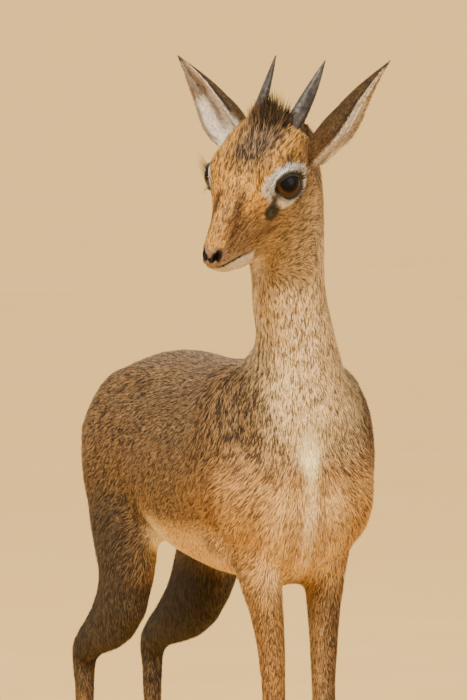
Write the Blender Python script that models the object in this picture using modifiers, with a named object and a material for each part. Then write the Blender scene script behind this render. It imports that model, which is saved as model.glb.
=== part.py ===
"""A Kirk's dik-dik buck standing with its head turned, as a still, life-size model.

Units are metres. +Z is up, the animal faces -Y and its left side is +X.
The soles of the four feet lie at z = 0.
"""
import math
import random

import bmesh
import bpy
from mathutils import Matrix, Vector

# Driving dimensions
CM = 0.01
MM = 0.001
GAP = 0.3 * MM
SLIVER = 0.03 * MM
SOLE_TO_CORONET = 16.5 * MM
EYE_RADIUS = 12.2 * MM
EAR_THICKNESS = 1.7 * MM
HORN_BROAD = 5.2 * MM
HORN_NARROW = 4.2 * MM
HORN_TURN = math.radians(35.0)

# The head is modelled in centimetres along its own axes: from the eyes to the nose,
# out of the forehead, and to the animal's left
EYE_MIDPOINT = Vector((-0.0398, -0.1504, 0.486))
HEAD_YAW = math.radians(49.0)
HEAD_ROLL = math.radians(4.5)
FACE_SLOPE = math.radians(50.0)
SKULL_SLOPE = math.radians(10.0)

# Fineness of the flesh
HEAD_VOXEL = 1.5 * MM
BODY_VOXEL = 2.4 * MM
HEAD_TRIANGLES = 2600
BODY_TRIANGLES = 4200
EYE_SEGMENTS = 20
LEG_TOP = 0.26
LEG_FIRM_BELOW = 0.19
LEAST_SOFTENING = 0.04

# Trunk sections, chest to buttock: place, lowest, widest and highest point, half width,
# roundness of the lower half
TRUNK = [
    (-0.150, 0.270, 0.290, 0.308, 0.015, 2.0),
    (-0.138, 0.248, 0.292, 0.333, 0.036, 1.8),
    (-0.115, 0.234, 0.296, 0.356, 0.052, 1.6),
    (-0.080, 0.228, 0.300, 0.368, 0.0590, 1.55),
    (-0.035, 0.229, 0.300, 0.369, 0.0575, 1.7),
    (0.015, 0.231, 0.300, 0.366, 0.0570, 1.85),
    (0.065, 0.237, 0.303, 0.366, 0.0555, 1.9),
    (0.115, 0.247, 0.308, 0.367, 0.0570, 1.9),
    (0.158, 0.258, 0.309, 0.357, 0.0540, 1.9),
    (0.190, 0.270, 0.307, 0.341, 0.0455, 2.0),
    (0.209, 0.284, 0.306, 0.326, 0.0320, 2.0),
    (0.219, 0.296, 0.306, 0.315, 0.0140, 2.0),
]

# Muscles that swell out of the trunk on each side: centre, then half length, width and height
MUSCLES = [
    ((0.0310, -0.086, 0.314), (0.042, 0.0285, 0.056)),
    ((0.0270, -0.112, 0.288), (0.030, 0.0240, 0.036)),
    ((0.0240, -0.076, 0.262), (0.032, 0.0210, 0.026)),
    ((0.0280, 0.132, 0.296), (0.062, 0.0300, 0.060)),
    ((0.0170, 0.172, 0.296), (0.038, 0.0240, 0.042)),
    ((0.0240, 0.098, 0.340), (0.052, 0.0220, 0.022)),
]

# Neck sections from inside the chest to the skull: centre, half width, half depth
NECK = [
    ((0.000, -0.085, 0.300), 0.045, 0.055),
    ((0.001, -0.099, 0.338), 0.045, 0.052),
    ((0.002, -0.112, 0.377), 0.0265, 0.038),
    ((-0.005, -0.1195, 0.408), 0.0235, 0.0305),
    ((-0.0080, -0.124, 0.430), 0.0234, 0.0292),
    ((-0.0092, -0.1235, 0.455), 0.0244, 0.0306),
    ((-0.0102, -0.1225, 0.480), 0.0242, 0.0302),
    ((-0.0122, -0.1240, 0.500), 0.0210, 0.0246),
    ((-0.0165, -0.1285, 0.517), 0.0090, 0.0100),
]

# Foreleg sections from the shoulder to the coronet: side, place, height, half width, half depth
FORELEG = [
    (0.0270, -0.100, 0.300, 0.0110, 0.0200),
    (0.0255, -0.101, 0.266, 0.0150, 0.0270),
    (0.0228, -0.106, 0.238, 0.0122, 0.0200),
    (0.0210, -0.112, 0.208, 0.0096, 0.0130),
    (0.0200, -0.1145, 0.170, 0.0074, 0.0088),
    (0.0197, -0.1160, 0.143, 0.0074, 0.0084),
    (0.0197, -0.1170, 0.129, 0.0084, 0.0092),
    (0.0200, -0.1160, 0.112, 0.0064, 0.0070),
    (0.0205, -0.1140, 0.080, 0.0056, 0.0064),
    (0.0210, -0.1130, 0.052, 0.0060, 0.0070),
    (0.0212, -0.1140, 0.040, 0.0076, 0.0086),
    (0.0216, -0.1190, 0.026, 0.0064, 0.0070),
    (0.0220, -0.1230, 0.010, 0.0078, 0.0090),
]

# Hind leg sections from the hip to the coronet, in the same order of values
HINDLEG = [
    (0.0270, 0.138, 0.318, 0.0220, 0.0400),
    (0.0340, 0.127, 0.277, 0.0215, 0.0520),
    (0.0368, 0.120, 0.242, 0.0168, 0.0470),
    (0.0375, 0.125, 0.214, 0.0130, 0.0390),
    (0.0378, 0.149, 0.192, 0.0103, 0.0235),
    (0.0380, 0.183, 0.177, 0.0088, 0.0138),
    (0.0380, 0.2060, 0.165, 0.0086, 0.0118),
    (0.0380, 0.2085, 0.150, 0.0070, 0.0088),
    (0.0380, 0.2070, 0.120, 0.0059, 0.0068),
    (0.0380, 0.2045, 0.080, 0.0056, 0.0064),
    (0.0380, 0.2025, 0.055, 0.0060, 0.0070),
    (0.0380, 0.2020, 0.043, 0.0077, 0.0087),
    (0.0380, 0.1970, 0.027, 0.0064, 0.0070),
    (0.0380, 0.1920, 0.010, 0.0078, 0.0090),
]

# How far each leg departs from its plain pose at the foot: to the left, backward
LEG_STEPS = {
    "foreleg_left": (0.000, 0.003),
    "foreleg_right": (0.004, -0.007),
    "hindleg_left": (-0.013, 0.052),
    "hindleg_right": (0.000, 0.000),
}

# Tail sections from inside the rump to the tip: place, height, half width, half depth
TAIL = [
    (0.1900, 0.3340, 0.0080, 0.0060),
    (0.2000, 0.3320, 0.0086, 0.0064),
    (0.2090, 0.3260, 0.0092, 0.0068),
    (0.2160, 0.3160, 0.0092, 0.0068),
    (0.2195, 0.3040, 0.0080, 0.0060),
    (0.2205, 0.2920, 0.0054, 0.0044),
    (0.2200, 0.2840, 0.0014, 0.0012),
]

# Ears: root in cm on the head, tip in cm above the skull, and the way each cup opens
EARS = {
    "ear_left": ((-3.05, -1.60, 2.08), (-5.5, 6.8, 6.7), Vector((0.82, -0.56, 0.10))),
    "ear_right": ((-3.25, -1.55, -2.00), (-5.0, 5.9, -8.15), Vector((-0.98, -0.21, 0.0))),
}

# Head sections in cm, nose to nape: place, lowest, widest and highest point, half width,
# roundness of the upper and lower half
HEAD = [
    (6.62, -0.95, -0.30, 0.18, 0.42, 2.2, 2.2),
    (6.35, -1.42, -0.35, 0.45, 0.74, 2.4, 2.2),
    (5.80, -1.98, -0.55, 0.76, 0.93, 2.4, 2.2),
    (5.00, -2.80, -0.80, 0.98, 1.05, 2.3, 2.1),
    (4.00, -3.58, -0.85, 1.14, 1.24, 2.2, 1.9),
    (2.90, -4.08, -0.75, 1.26, 1.60, 2.2, 1.8),
    (1.80, -4.50, -0.60, 1.42, 2.10, 2.3, 1.7),
    (0.70, -4.85, -0.40, 1.62, 2.55, 2.5, 1.7),
    (-0.40, -4.85, -0.30, 1.78, 2.78, 2.6, 1.8),
    (-1.50, -4.50, -0.40, 1.82, 2.76, 2.5, 1.9),
    (-2.80, -4.00, -0.60, 1.62, 2.52, 2.3, 2.0),
    (-4.00, -3.70, -0.90, 1.15, 2.20, 2.2, 2.0),
    (-5.00, -3.40, -1.20, 0.45, 1.80, 2.0, 2.0),
    (-5.70, -2.70, -1.30, -0.40, 1.05, 2.0, 2.0),
]

# Places on the head in cm
EYE_PLACE = (0.00, -0.25, 2.03)
EYE_LOOK = (0.31, 0.31, 0.90)
GLAND_PLACE = (2.05, -0.55, 1.80)
NOSTRIL_PLACE = (6.34, 0.18, 0.40)
MOUTH_LINE = [(6.55, -0.50), (6.05, -0.71), (5.40, -1.08), (4.80, -1.50), (4.20, -1.97)]
HORN_ROOT = (-3.30, 0.35, 1.32)
HORN_TIP = (-8.75, 0.90, 1.78)
CREST_ROOT = (-3.10, 1.30, 0.15)

RING_POINTS = 24
SIDEWAYS = Vector((1.0, 0.0, 0.0))
BACKWARD = Vector((0.0, 1.0, 0.0))
UPWARD = Vector((0.0, 0.0, 1.0))


# Axes and small helpers

def head_axes():
    """Unit vectors from the eyes to the nose, out of the forehead, and to the left."""
    level = Vector((-math.sin(HEAD_YAW), -math.cos(HEAD_YAW), 0.0))
    left = Vector((-level.y, level.x, 0.0))
    roll = Matrix.Rotation(-HEAD_ROLL, 3, level)
    left = roll @ left
    up = level.cross(left)
    nose = level * math.cos(FACE_SLOPE) - up * math.sin(FACE_SLOPE)
    brow = level * math.sin(FACE_SLOPE) + up * math.cos(FACE_SLOPE)
    return nose, brow, left


NOSE, BROW, LEFT = head_axes()


def on_head(along, out, side):
    """The world place of a point given in cm along the head's axes."""
    return EYE_MIDPOINT + (NOSE * along + BROW * out + LEFT * side) * CM


def head_direction(along, out, side):
    return (NOSE * along + BROW * out + LEFT * side).normalized()


def above_skull(forward, up, side):
    """The world place of a point given in cm on axes that lie nearly level with the skull."""
    tilt = FACE_SLOPE - SKULL_SLOPE
    along = forward * math.cos(tilt) - up * math.sin(tilt)
    out = forward * math.sin(tilt) + up * math.cos(tilt)
    return on_head(along, out, side)


def clear_scene():
    for thing in list(bpy.data.objects):
        bpy.data.objects.remove(thing, do_unlink=True)


def new_collection(name):
    collection = bpy.data.collections.new(name)
    bpy.context.scene.collection.children.link(collection)
    return collection


def new_material(name, colour, roughness):
    material = bpy.data.materials.new(name)
    material.use_nodes = True
    shader = material.node_tree.nodes["Principled BSDF"]
    shader.inputs["Base Color"].default_value = (*colour, 1.0)
    shader.inputs["Roughness"].default_value = roughness
    shader.inputs["Metallic"].default_value = 0.0
    return material


def object_from_bmesh(name, form, collection):
    mesh = bpy.data.meshes.new(name)
    form.to_mesh(mesh)
    form.free()
    thing = bpy.data.objects.new(name, mesh)
    collection.objects.link(thing)
    return thing


def evaluated_mesh(thing):
    """Replaces an object's modifiers by the mesh that they make."""
    graph = bpy.context.evaluated_depsgraph_get()
    mesh = bpy.data.meshes.new_from_object(thing.evaluated_get(graph))
    old = thing.data
    thing.modifiers.clear()
    thing.data = mesh
    bpy.data.meshes.remove(old)


def signed_power(value, exponent):
    return math.copysign(abs(value) ** exponent, value)


# Lofted forms

def ring(centre, side, over, half_width, above, below, upper, lower):
    """A closed ring: a superellipse whose upper and lower halves differ."""
    points = []
    for index in range(RING_POINTS):
        angle = 2.0 * math.pi * index / RING_POINTS
        across, height = math.cos(angle), math.sin(angle)
        roundness = upper if height >= 0.0 else lower
        reach = above if height >= 0.0 else below
        points.append(centre
                      + side * half_width * signed_power(across, 2.0 / roundness)
                      + over * reach * signed_power(height, 2.0 / roundness))
    return points


def loft(name, rings, collection, crescent=False):
    """A closed body through rings of equal length, with a fan of faces at each end.

    A crescent's ring runs out along its outer arc and back along its inner one, and its
    ends are closed from arc to arc.
    """
    form = bmesh.new()
    loops = [[form.verts.new(point) for point in points] for points in rings]
    for low, high in zip(loops, loops[1:]):
        for index in range(len(low)):
            after = (index + 1) % len(low)
            form.faces.new((low[index], low[after], high[after], high[index]))
    for loop in (loops[0], loops[-1]):
        count = len(loop)
        if crescent:
            for index in range(count // 2 - 1):
                form.faces.new((loop[index], loop[index + 1],
                                loop[count - 2 - index], loop[count - 1 - index]))
            continue
        middle = form.verts.new(sum((vert.co for vert in loop), Vector()) / count)
        for index in range(count):
            form.faces.new((loop[index], loop[(index + 1) % count], middle))
    bmesh.ops.recalc_face_normals(form, faces=form.faces)
    return object_from_bmesh(name, form, collection)


def tube_rings(rows, side_hint):
    """Rings square to the line through their centres, each with two half sizes."""
    rings = []
    for index, (centre, half_width, half_depth) in enumerate(rows):
        before = rows[max(index - 1, 0)][0]
        after = rows[min(index + 1, len(rows) - 1)][0]
        along = (Vector(after) - Vector(before)).normalized()
        side = (side_hint - along * side_hint.dot(along)).normalized()
        over = along.cross(side)
        rings.append(ring(Vector(centre), side, over, half_width, half_depth, half_depth, 2.0, 2.0))
    return rings


def smooth_rows(rows, steps):
    """Rows filled in between by a curve that passes through each of them."""
    filled = []
    for index in range(len(rows) - 1):
        four = [rows[max(index - 1, 0)], rows[index], rows[index + 1],
                rows[min(index + 2, len(rows) - 1)]]
        for step in range(steps):
            t = step / steps
            filled.append(tuple(
                0.5 * (2 * b + (c - a) * t + (2 * a - 5 * b + 4 * c - d) * t * t
                       + (3 * b - a - 3 * c + d) * t ** 3)
                for a, b, c, d in zip(*four)))
    filled.append(tuple(rows[-1]))
    return filled


def ball(name, centre, radii, axes, collection, segments=24):
    """An ellipsoid whose three radii lie along the given axes."""
    form = bmesh.new()
    bmesh.ops.create_uvsphere(form, u_segments=segments, v_segments=segments // 2, radius=1.0)
    place = Matrix([axis * radius for axis, radius in zip(axes, radii)]).transposed().to_4x4()
    bmesh.ops.transform(form, matrix=Matrix.Translation(centre) @ place, verts=form.verts)
    bmesh.ops.recalc_face_normals(form, faces=form.faces)
    return object_from_bmesh(name, form, collection)


# Booleans and node trimming

def boolean(target, tool, operation, collection=None):
    """Cuts or joins one object, or a whole collection, into the target and applies it."""
    cut = target.modifiers.new("boolean", "BOOLEAN")
    cut.operation = operation
    cut.solver = "EXACT"
    if collection is None:
        cut.object = tool
    else:
        cut.operand_type = "COLLECTION"
        cut.collection = collection
    evaluated_mesh(target)


def drop_slivers(thing):
    """Merges points closer than a Boolean can tell apart reliably."""
    form = bmesh.new()
    form.from_mesh(thing.data)
    bmesh.ops.triangulate(form, faces=form.faces)
    bmesh.ops.dissolve_degenerate(form, dist=SLIVER, edges=form.edges)
    bmesh.ops.triangulate(form, faces=form.faces)
    form.to_mesh(thing.data)
    form.free()


def remove(thing):
    mesh = thing.data
    bpy.data.objects.remove(thing, do_unlink=True)
    bpy.data.meshes.remove(mesh)


def loose_pieces(form):
    """The faces of a mesh grouped by the closed surface that they belong to."""
    groups, seen = [], set()
    for start in form.faces:
        if start.index in seen:
            continue
        group, front = [], [start]
        seen.add(start.index)
        while front:
            face = front.pop()
            group.append(face)
            for edge in face.edges:
                for other in edge.link_faces:
                    if other.index not in seen:
                        seen.add(other.index)
                        front.append(other)
        groups.append(group)
    return groups


def keep_largest(thing):
    """Drops every closed surface of an object but the largest."""
    form = bmesh.new()
    form.from_mesh(thing.data)
    form.faces.ensure_lookup_table()
    groups = sorted(loose_pieces(form), key=lambda group: -sum(f.calc_area() for f in group))
    for group in groups[1:]:
        bmesh.ops.delete(form, geom=group, context="FACES")
    stray = [vert for vert in form.verts if not vert.link_faces]
    bmesh.ops.delete(form, geom=stray, context="VERTS")
    form.to_mesh(thing.data)
    form.free()


def join_objects(things):
    """Puts the meshes of several objects into the first one."""
    form = bmesh.new()
    for thing in things:
        form.from_mesh(thing.data)
    form.to_mesh(things[0].data)
    form.free()
    for thing in things[1:]:
        remove(thing)
    return things[0]


def blend_flesh(thing, voxel, passes, triangles, calm=None):
    """Melts overlapping forms into one soft body and thins its faces to a number."""
    melt = thing.modifiers.new("melt", "REMESH")
    melt.mode = "VOXEL"
    melt.voxel_size = voxel
    evaluated_mesh(thing)
    soft = thing.modifiers.new("soft", "SMOOTH")
    soft.factor = 0.5
    soft.iterations = passes
    if calm is not None:
        group = thing.vertex_groups.new(name="soft")
        for vert in thing.data.vertices:
            group.add([vert.index], calm(vert.co), "REPLACE")
        soft.vertex_group = "soft"
    evaluated_mesh(thing)
    faces = sum(len(face.vertices) - 2 for face in thing.data.polygons)
    thin = thing.modifiers.new("thin", "DECIMATE")
    thin.ratio = triangles / faces
    evaluated_mesh(thing)
    keep_largest(thing)


def grown_copy(thing, distance, collection):
    """A copy of a body whose skin lies a little further out."""
    copy = thing.copy()
    copy.data = thing.data.copy()
    collection.objects.link(copy)
    grow = copy.modifiers.new("grow", "DISPLACE")
    grow.strength = distance
    grow.mid_level = 0.0
    evaluated_mesh(copy)
    return copy


def slab(name, centre, size, normal, collection):
    """A box of the given width, depth and thickness whose thickness lies along the normal."""
    normal = normal.normalized()
    side = (SIDEWAYS - normal * SIDEWAYS.dot(normal)).normalized()
    form = bmesh.new()
    bmesh.ops.create_cube(form, size=1.0)
    turn = Matrix((side, normal.cross(side), normal)).transposed().to_4x4()
    stretch = Matrix.Diagonal((*size, 1.0))
    bmesh.ops.transform(form, matrix=Matrix.Translation(centre) @ turn @ stretch, verts=form.verts)
    return object_from_bmesh(name, form, collection)


# Trunk, neck and legs

def trunk_form(collection):
    rings = []
    for place, low, wide, top, half_width, lower in smooth_rows(TRUNK, 3):
        rings.append(ring(Vector((0.0, place, wide)), SIDEWAYS, UPWARD, half_width,
                          top - wide, wide - low, 2.0, lower))
    return loft("trunk", rings, collection)


def muscle_forms(collection):
    """Shoulder, upper arm, elbow, haunch, buttock and loin on both sides."""
    forms = []
    for (side, place, height), (half_length, half_width, half_height) in MUSCLES:
        for sign in (-1.0, 1.0):
            centre = Vector((side * sign, place, height))
            forms.append(ball("muscle", centre, (half_width, half_length, half_height),
                              (SIDEWAYS, BACKWARD, UPWARD), collection))
    return forms


def neck_form(collection, first=0):
    rows = [(*centre, half_width, half_depth) for centre, half_width, half_depth in NECK[first:]]
    rows = [(Vector(row[:3]), row[3], row[4]) for row in smooth_rows(rows, 3)]
    return loft("neck", tube_rings(rows, Vector((1.0, -0.25, 0.0))), collection)


def leg_rows(name):
    """The sections of one leg, moved to where its foot stands."""
    table = FORELEG if name.startswith("fore") else HINDLEG
    sign = 1.0 if name.endswith("left") else -1.0
    to_left, backward = LEG_STEPS[name]
    top, bend = table[0][2], 0.17
    rows = []
    for side, place, height, half_width, half_depth in smooth_rows(table, 2):
        t = min(max((top - height) / (top - bend), 0.0), 1.0)
        share = t * t * (3.0 - 2.0 * t)
        centre = Vector((sign * side + to_left * share, place + backward * share, height))
        rows.append((centre, half_width, half_depth))
    return rows


def leg_form(name, collection):
    return loft(name, tube_rings(leg_rows(name), SIDEWAYS), collection)


def dewclaws(name, collection):
    """The two small false hooves behind a fetlock."""
    rows = leg_rows(name)
    fetlock = min(rows, key=lambda row: abs(row[0].z - 0.037))[0]
    axes = (SIDEWAYS, BACKWARD, UPWARD)
    claws = []
    for side in (-1.0, 1.0):
        centre = fetlock + Vector((side * 4.2 * MM, 7.8 * MM, 0.0))
        claws.append(ball(name + "_dewclaw", centre, (2.6 * MM, 3.2 * MM, 4.2 * MM), axes,
                          collection, 12))
    return claws


def foot_place(name):
    return leg_rows(name)[-1][0]


# Head

def head_half_width(along, out):
    """Half the width of the head at a place along it and a height, in cm."""
    rows = smooth_rows(HEAD, 4)
    row = min(rows, key=lambda values: abs(values[0] - along))
    _, low, wide, top, half_width, upper, lower = row
    if out >= wide:
        share, roundness = (out - wide) / (top - wide), upper
    else:
        share, roundness = (wide - out) / (wide - low), lower
    return half_width * max(1.0 - min(share, 1.0) ** roundness, 0.0) ** (1.0 / roundness)


def head_form(collection):
    rings = []
    for along, low, wide, top, half_width, upper, lower in smooth_rows(HEAD, 3):
        rings.append(ring(on_head(along, wide, 0.0), LEFT, BROW, half_width * CM,
                          (top - wide) * CM, (wide - low) * CM, upper, lower))
    return loft("skull", rings, collection)


def face_forms(collection):
    """Brow, cheek, lips and ear roots that swell out of the plain skull."""
    axes = (NOSE, BROW, LEFT)
    swells = [
        ((-0.10, -0.15, 1.55), (2.05, 1.95, 1.38)),
        ((-0.05, -0.20, 1.60), (1.66, 1.62, 1.58)),
        ((0.30, -2.90, 1.15), (1.50, 1.40, 0.85)),
        ((6.05, -0.40, 0.42), (0.62, 0.55, 0.48)),
        ((5.35, -1.62, 0.22), (0.75, 0.50, 0.50)),
        ((-3.60, -0.70, 1.75), (1.05, 1.00, 0.72)),
        ((2.05, -0.55, 1.50), (0.70, 0.60, 0.36)),
    ]
    forms = []
    for (along, out, side), radii in swells:
        for sign in (-1.0, 1.0):
            forms.append(ball("swell", on_head(along, out, side * sign),
                              [radius * CM for radius in radii], axes, collection))
    return forms


def mirror_side(place, sign):
    return (place[0], place[1], place[2] * sign)


def eye_axes(sign):
    """The eye's look direction, the line through its corners, and the line across its lids."""
    look = head_direction(*mirror_side(EYE_LOOK, sign))
    corner = NOSE * 0.84 + BROW * 0.55
    corner = (corner - look * corner.dot(look)).normalized()
    return look, corner, look.cross(corner)


def shape_eye_region(head, sign, scrap):
    """Builds the lids round one eyeball: a shell with an almond opening."""
    centre = on_head(*mirror_side(EYE_PLACE, sign))
    look, corner, across = eye_axes(sign)
    axes = (corner, across, look)
    lids = ball("lids", centre, [EYE_RADIUS + 1.7 * MM] * 3, axes, scrap, EYE_SEGMENTS)
    boolean(head, lids, "UNION")
    remove(lids)
    socket = ball("socket", centre, [EYE_RADIUS + GAP] * 3, axes, scrap, EYE_SEGMENTS)
    boolean(head, socket, "DIFFERENCE")
    remove(socket)
    rings = []
    for reach, size in ((0.35, 0.72), (1.30, 1.05)):
        points = []
        for index in range(20):
            angle = 2.0 * math.pi * index / 20
            width = 11.0 * MM * size * math.cos(angle)
            pinch = 1.0 - 0.22 * abs(math.cos(angle)) ** 3
            height = 8.4 * MM * size * math.sin(angle) * pinch
            points.append(centre + look * EYE_RADIUS * reach + corner * width + across * height)
        rings.append(points)
    opening = loft("opening", rings, scrap)
    boolean(head, opening, "DIFFERENCE")
    remove(opening)
    drop_slivers(head)
    keep_largest(head)


def cut_nostril(head, sign, scrap):
    axes = (head_direction(0.35, 0.75, 0.55 * sign), head_direction(0.9, -0.4, 0.0),
            head_direction(-0.2, 0.3, sign))
    pit = ball("nostril", on_head(*mirror_side(NOSTRIL_PLACE, sign)),
               (2.6 * MM, 2.4 * MM, 1.5 * MM), axes, scrap, 12)
    boolean(head, pit, "DIFFERENCE")
    remove(pit)


def cut_gland_slit(head, sign, scrap):
    axes = (NOSE, BROW, LEFT)
    slit = ball("gland", on_head(*mirror_side(GLAND_PLACE, sign)),
                (3.2 * MM, 1.3 * MM, 2.2 * MM), axes, scrap, 12)
    boolean(head, slit, "DIFFERENCE")
    remove(slit)


def mouth_path():
    """Points of the mouth's line on the surface, from the right corner round to the left."""
    line = [row for row in smooth_rows(MOUTH_LINE, 3)]
    side = [(along, out, head_half_width(along, out)) for along, out in line]
    right = [(along, out, -width) for along, out, width in side[::-1]]
    return [on_head(*point) for point in right] + [on_head(*point) for point in side]


def cut_mouth(head, scrap):
    """A narrow groove between the lips, deepest on the lips' own line."""
    path = mouth_path()
    core = on_head(4.6, -1.2, 0.0)
    rings = []
    for index, point in enumerate(path):
        before, after = path[max(index - 1, 0)], path[min(index + 1, len(path) - 1)]
        along = (after - before).normalized()
        outward = point - core
        outward = (outward - along * outward.dot(along)).normalized()
        up = along.cross(outward).normalized()
        rings.append([point - outward * 1.7 * MM, point + outward * 2.0 * MM - up * 0.75 * MM,
                      point + outward * 2.0 * MM + up * 0.75 * MM])
    groove = loft("groove", rings, scrap)
    boolean(head, groove, "DIFFERENCE")
    remove(groove)


def crest_locks(collection):
    """Flat tapered locks that stand up and back between the horns."""
    draw = random.Random(7)
    locks = []
    rows, columns = 4, 5
    for row in range(rows):
        for column in range(columns):
            spread = (column - (columns - 1) / 2.0) / ((columns - 1) / 2.0)
            along = CREST_ROOT[0] - 0.42 * row + draw.uniform(-0.1, 0.1)
            out = CREST_ROOT[1] - 0.30 * row - 0.12 * abs(spread)
            side = CREST_ROOT[2] + 0.48 * spread + draw.uniform(-0.05, 0.05)
            root = Vector((along, out, side))
            length = (2.25 - 0.15 * row) * (1.0 - 0.16 * abs(spread)) * draw.uniform(0.9, 1.08)
            lift = 0.42 - 0.18 * row
            lean = 0.10 * spread + draw.uniform(-0.05, 0.05)
            locks.append(lock(root, length, lift, lean, 0.38, collection))
    return locks


def lock(root, length, lift, lean, width, collection):
    """One flat lock, in cm on the head's axes, that bends back toward the nape."""
    rings = []
    steps = 5
    for step in range(steps + 1):
        t = step / steps
        centre = root + Vector((-length * t, length * (lift * t - 0.30 * t * t), length * lean * t))
        half = width * 0.5 * (1.0 - 0.82 * t ** 1.6)
        thick = 0.075 * (1.0 - 0.55 * t)
        corners = [(0.0, half), (thick, 0.0), (0.0, -half), (-thick, 0.0)]
        rings.append([on_head(centre.x, centre.y + over, centre.z + side) for over, side in corners])
    return loft("lock", rings, collection)


def grow_crest(head, scrap):
    bundle = new_collection("crest_locks")
    locks = crest_locks(bundle)
    boolean(head, None, "UNION", bundle)
    for piece in locks:
        remove(piece)
    bpy.data.collections.remove(bundle)
    keep_largest(head)


# Ears, horns, eyes, hooves, tail

def ear_form(name, root, tip, opening, collection):
    """A cupped leaf: crescent sections that close to a funnel at the root."""
    axis = tip - root
    length = axis.length
    along = axis.normalized()
    face = (opening - along * opening.dot(along)).normalized()
    side = along.cross(face)
    rings = []
    steps, half_points = 11, 5
    for step in range(steps + 1):
        t = step / steps
        grow = math.sin(math.pi * min(t / 0.50, 1.0) / 2.0)
        taper = 1.0 if t < 0.36 else 1.0 - ((t - 0.36) / 0.66) ** 1.1
        radius = (10.0 + 5.2 * grow) * MM * taper
        sweep = math.radians(118.0 - 34.0 * t)
        inward = 3.0 * math.sin(math.pi * t) + 3.4 * max(1.0 - t / 0.45, 0.0)
        sway = face * (radius * 0.70 - inward * MM)
        centre = root + axis * t + sway
        thick = EAR_THICKNESS * (1.25 - 0.55 * t)
        outer, inner = [], []
        for index in range(2 * half_points + 1):
            angle = sweep * (index - half_points) / half_points
            edge = 1.0 - 0.45 * (abs(index - half_points) / half_points) ** 3
            direction = side * math.sin(angle) - face * math.cos(angle)
            outer.append(centre + direction * radius)
            inner.append(centre + direction * max(radius - thick * edge, radius * 0.45))
        rings.append(outer + inner[::-1])
    return loft(name, rings, collection, crescent=True)


def horn_form(name, sign, collection):
    """A spike of oval section with low rings on its lower half and a slight backward bend."""
    root, tip = Vector(mirror_side(HORN_ROOT, sign)), Vector(mirror_side(HORN_TIP, sign))
    rings = []
    steps, sides = 18, 12
    for step in range(steps + 1):
        t = step / steps
        centre = root.lerp(tip, t)
        centre.y -= 0.10 * math.sin(math.pi * t)
        ridge = 1.0 if t > 0.5 else 1.0 + 0.05 * (-1) ** step
        broad = (HORN_BROAD * (1.0 - t ** 2.2) * ridge + 0.30 * MM) / CM
        narrow = (HORN_NARROW * (1.0 - t) ** 0.75 * ridge + 0.30 * MM) / CM
        oval = []
        for index in range(sides):
            angle = sign * 2.0 * math.pi * index / sides
            far, near = broad * math.cos(angle), narrow * math.sin(angle)
            out = near * math.cos(HORN_TURN) - far * math.sin(HORN_TURN)
            side = far * math.cos(HORN_TURN) + near * math.sin(HORN_TURN)
            oval.append(on_head(centre.x, centre.y + out, centre.z + sign * side))
        rings.append(oval)
    return loft(name, rings, collection)


def hoof_form(name, leg, scrap, collection):
    """A small pointed cloven hoof with a flat sole."""
    foot = foot_place(leg)
    rings = []
    for share in (0.0, 0.12, 0.45, 0.80, 1.0):
        height = SOLE_TO_CORONET * share
        half_length = (13.2 - 3.6 * share) * MM
        half_width = (7.7 + 0.9 * math.sin(math.pi * share) - 0.2 * share) * MM
        centre = Vector((foot.x, foot.y - (3.6 - 3.4 * share) * MM, height))
        if share == 0.0:
            half_length -= 0.6 * MM
            half_width -= 0.6 * MM
        points = []
        for index in range(20):
            angle = 2.0 * math.pi * index / 20
            forward = math.cos(angle)
            pinch = 1.0 - 0.34 * max(forward, 0.0) ** 2
            points.append(centre + Vector((half_width * math.sin(angle) * pinch,
                                           -half_length * forward, 0.0)))
        rings.append(points)
    hoof = loft(name, rings, collection)
    cleft = loft("cleft", [
        [Vector((foot.x - 1.1 * MM, foot.y - 25 * MM, z)), Vector((foot.x, foot.y - 3 * MM, z)),
         Vector((foot.x + 1.1 * MM, foot.y - 25 * MM, z))]
        for z in (-2 * MM, SOLE_TO_CORONET - 2.5 * MM)], scrap)
    boolean(hoof, cleft, "DIFFERENCE")
    remove(cleft)
    return hoof


def tail_form(name, collection):
    """A short tail that hangs close to the rump."""
    rows = [(Vector((0.0, place, height)), half_width, half_depth)
            for place, height, half_width, half_depth in smooth_rows(TAIL, 3)]
    return loft(name, tube_rings(rows, SIDEWAYS), collection)


# Dividing the body into its named nodes

def neck_cut_place():
    """Where the head parts from the neck: a point and the direction of the cut."""
    return Vector((-0.0090, -0.1235, 0.4345)), Vector((-0.30, -0.30, 0.90)).normalized()


def trunk_share(place):
    """How fully a place is softened: the trunk wholly, the thin legs hardly at all."""
    share = (place.z - LEG_FIRM_BELOW) / (LEG_TOP - LEG_FIRM_BELOW)
    return min(max(share, LEAST_SOFTENING), 1.0)


def cut_away(thing, point, normal, collection):
    """Removes what lies on the far side of a plane, the side that the normal points to."""
    size = 0.8
    box = slab("box", point + normal * size / 2.0, (size, size, size), normal, collection)
    boolean(thing, box, "DIFFERENCE")
    remove(box)


def body_slabs(collection):
    """Thin cuts between the neck, the trunk and the four legs."""
    slabs = [slab("cut", Vector((0.0, -0.107, 0.364)), (0.13, 0.145, GAP),
                  Vector((0.0, -0.42, 0.91)), collection)]
    for sign in (-1.0, 1.0):
        slabs.append(slab("cut", Vector((sign * 0.030, -0.108, 0.2195)), (0.052, 0.085, GAP),
                          Vector((0.0, 0.0, 1.0)), collection))
        slabs.append(slab("cut", Vector((sign * 0.0400, 0.135, 0.2405)), (0.072, 0.170, GAP),
                          Vector((0.0, -0.13, 1.0)), collection))
    return join_objects(slabs)


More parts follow.
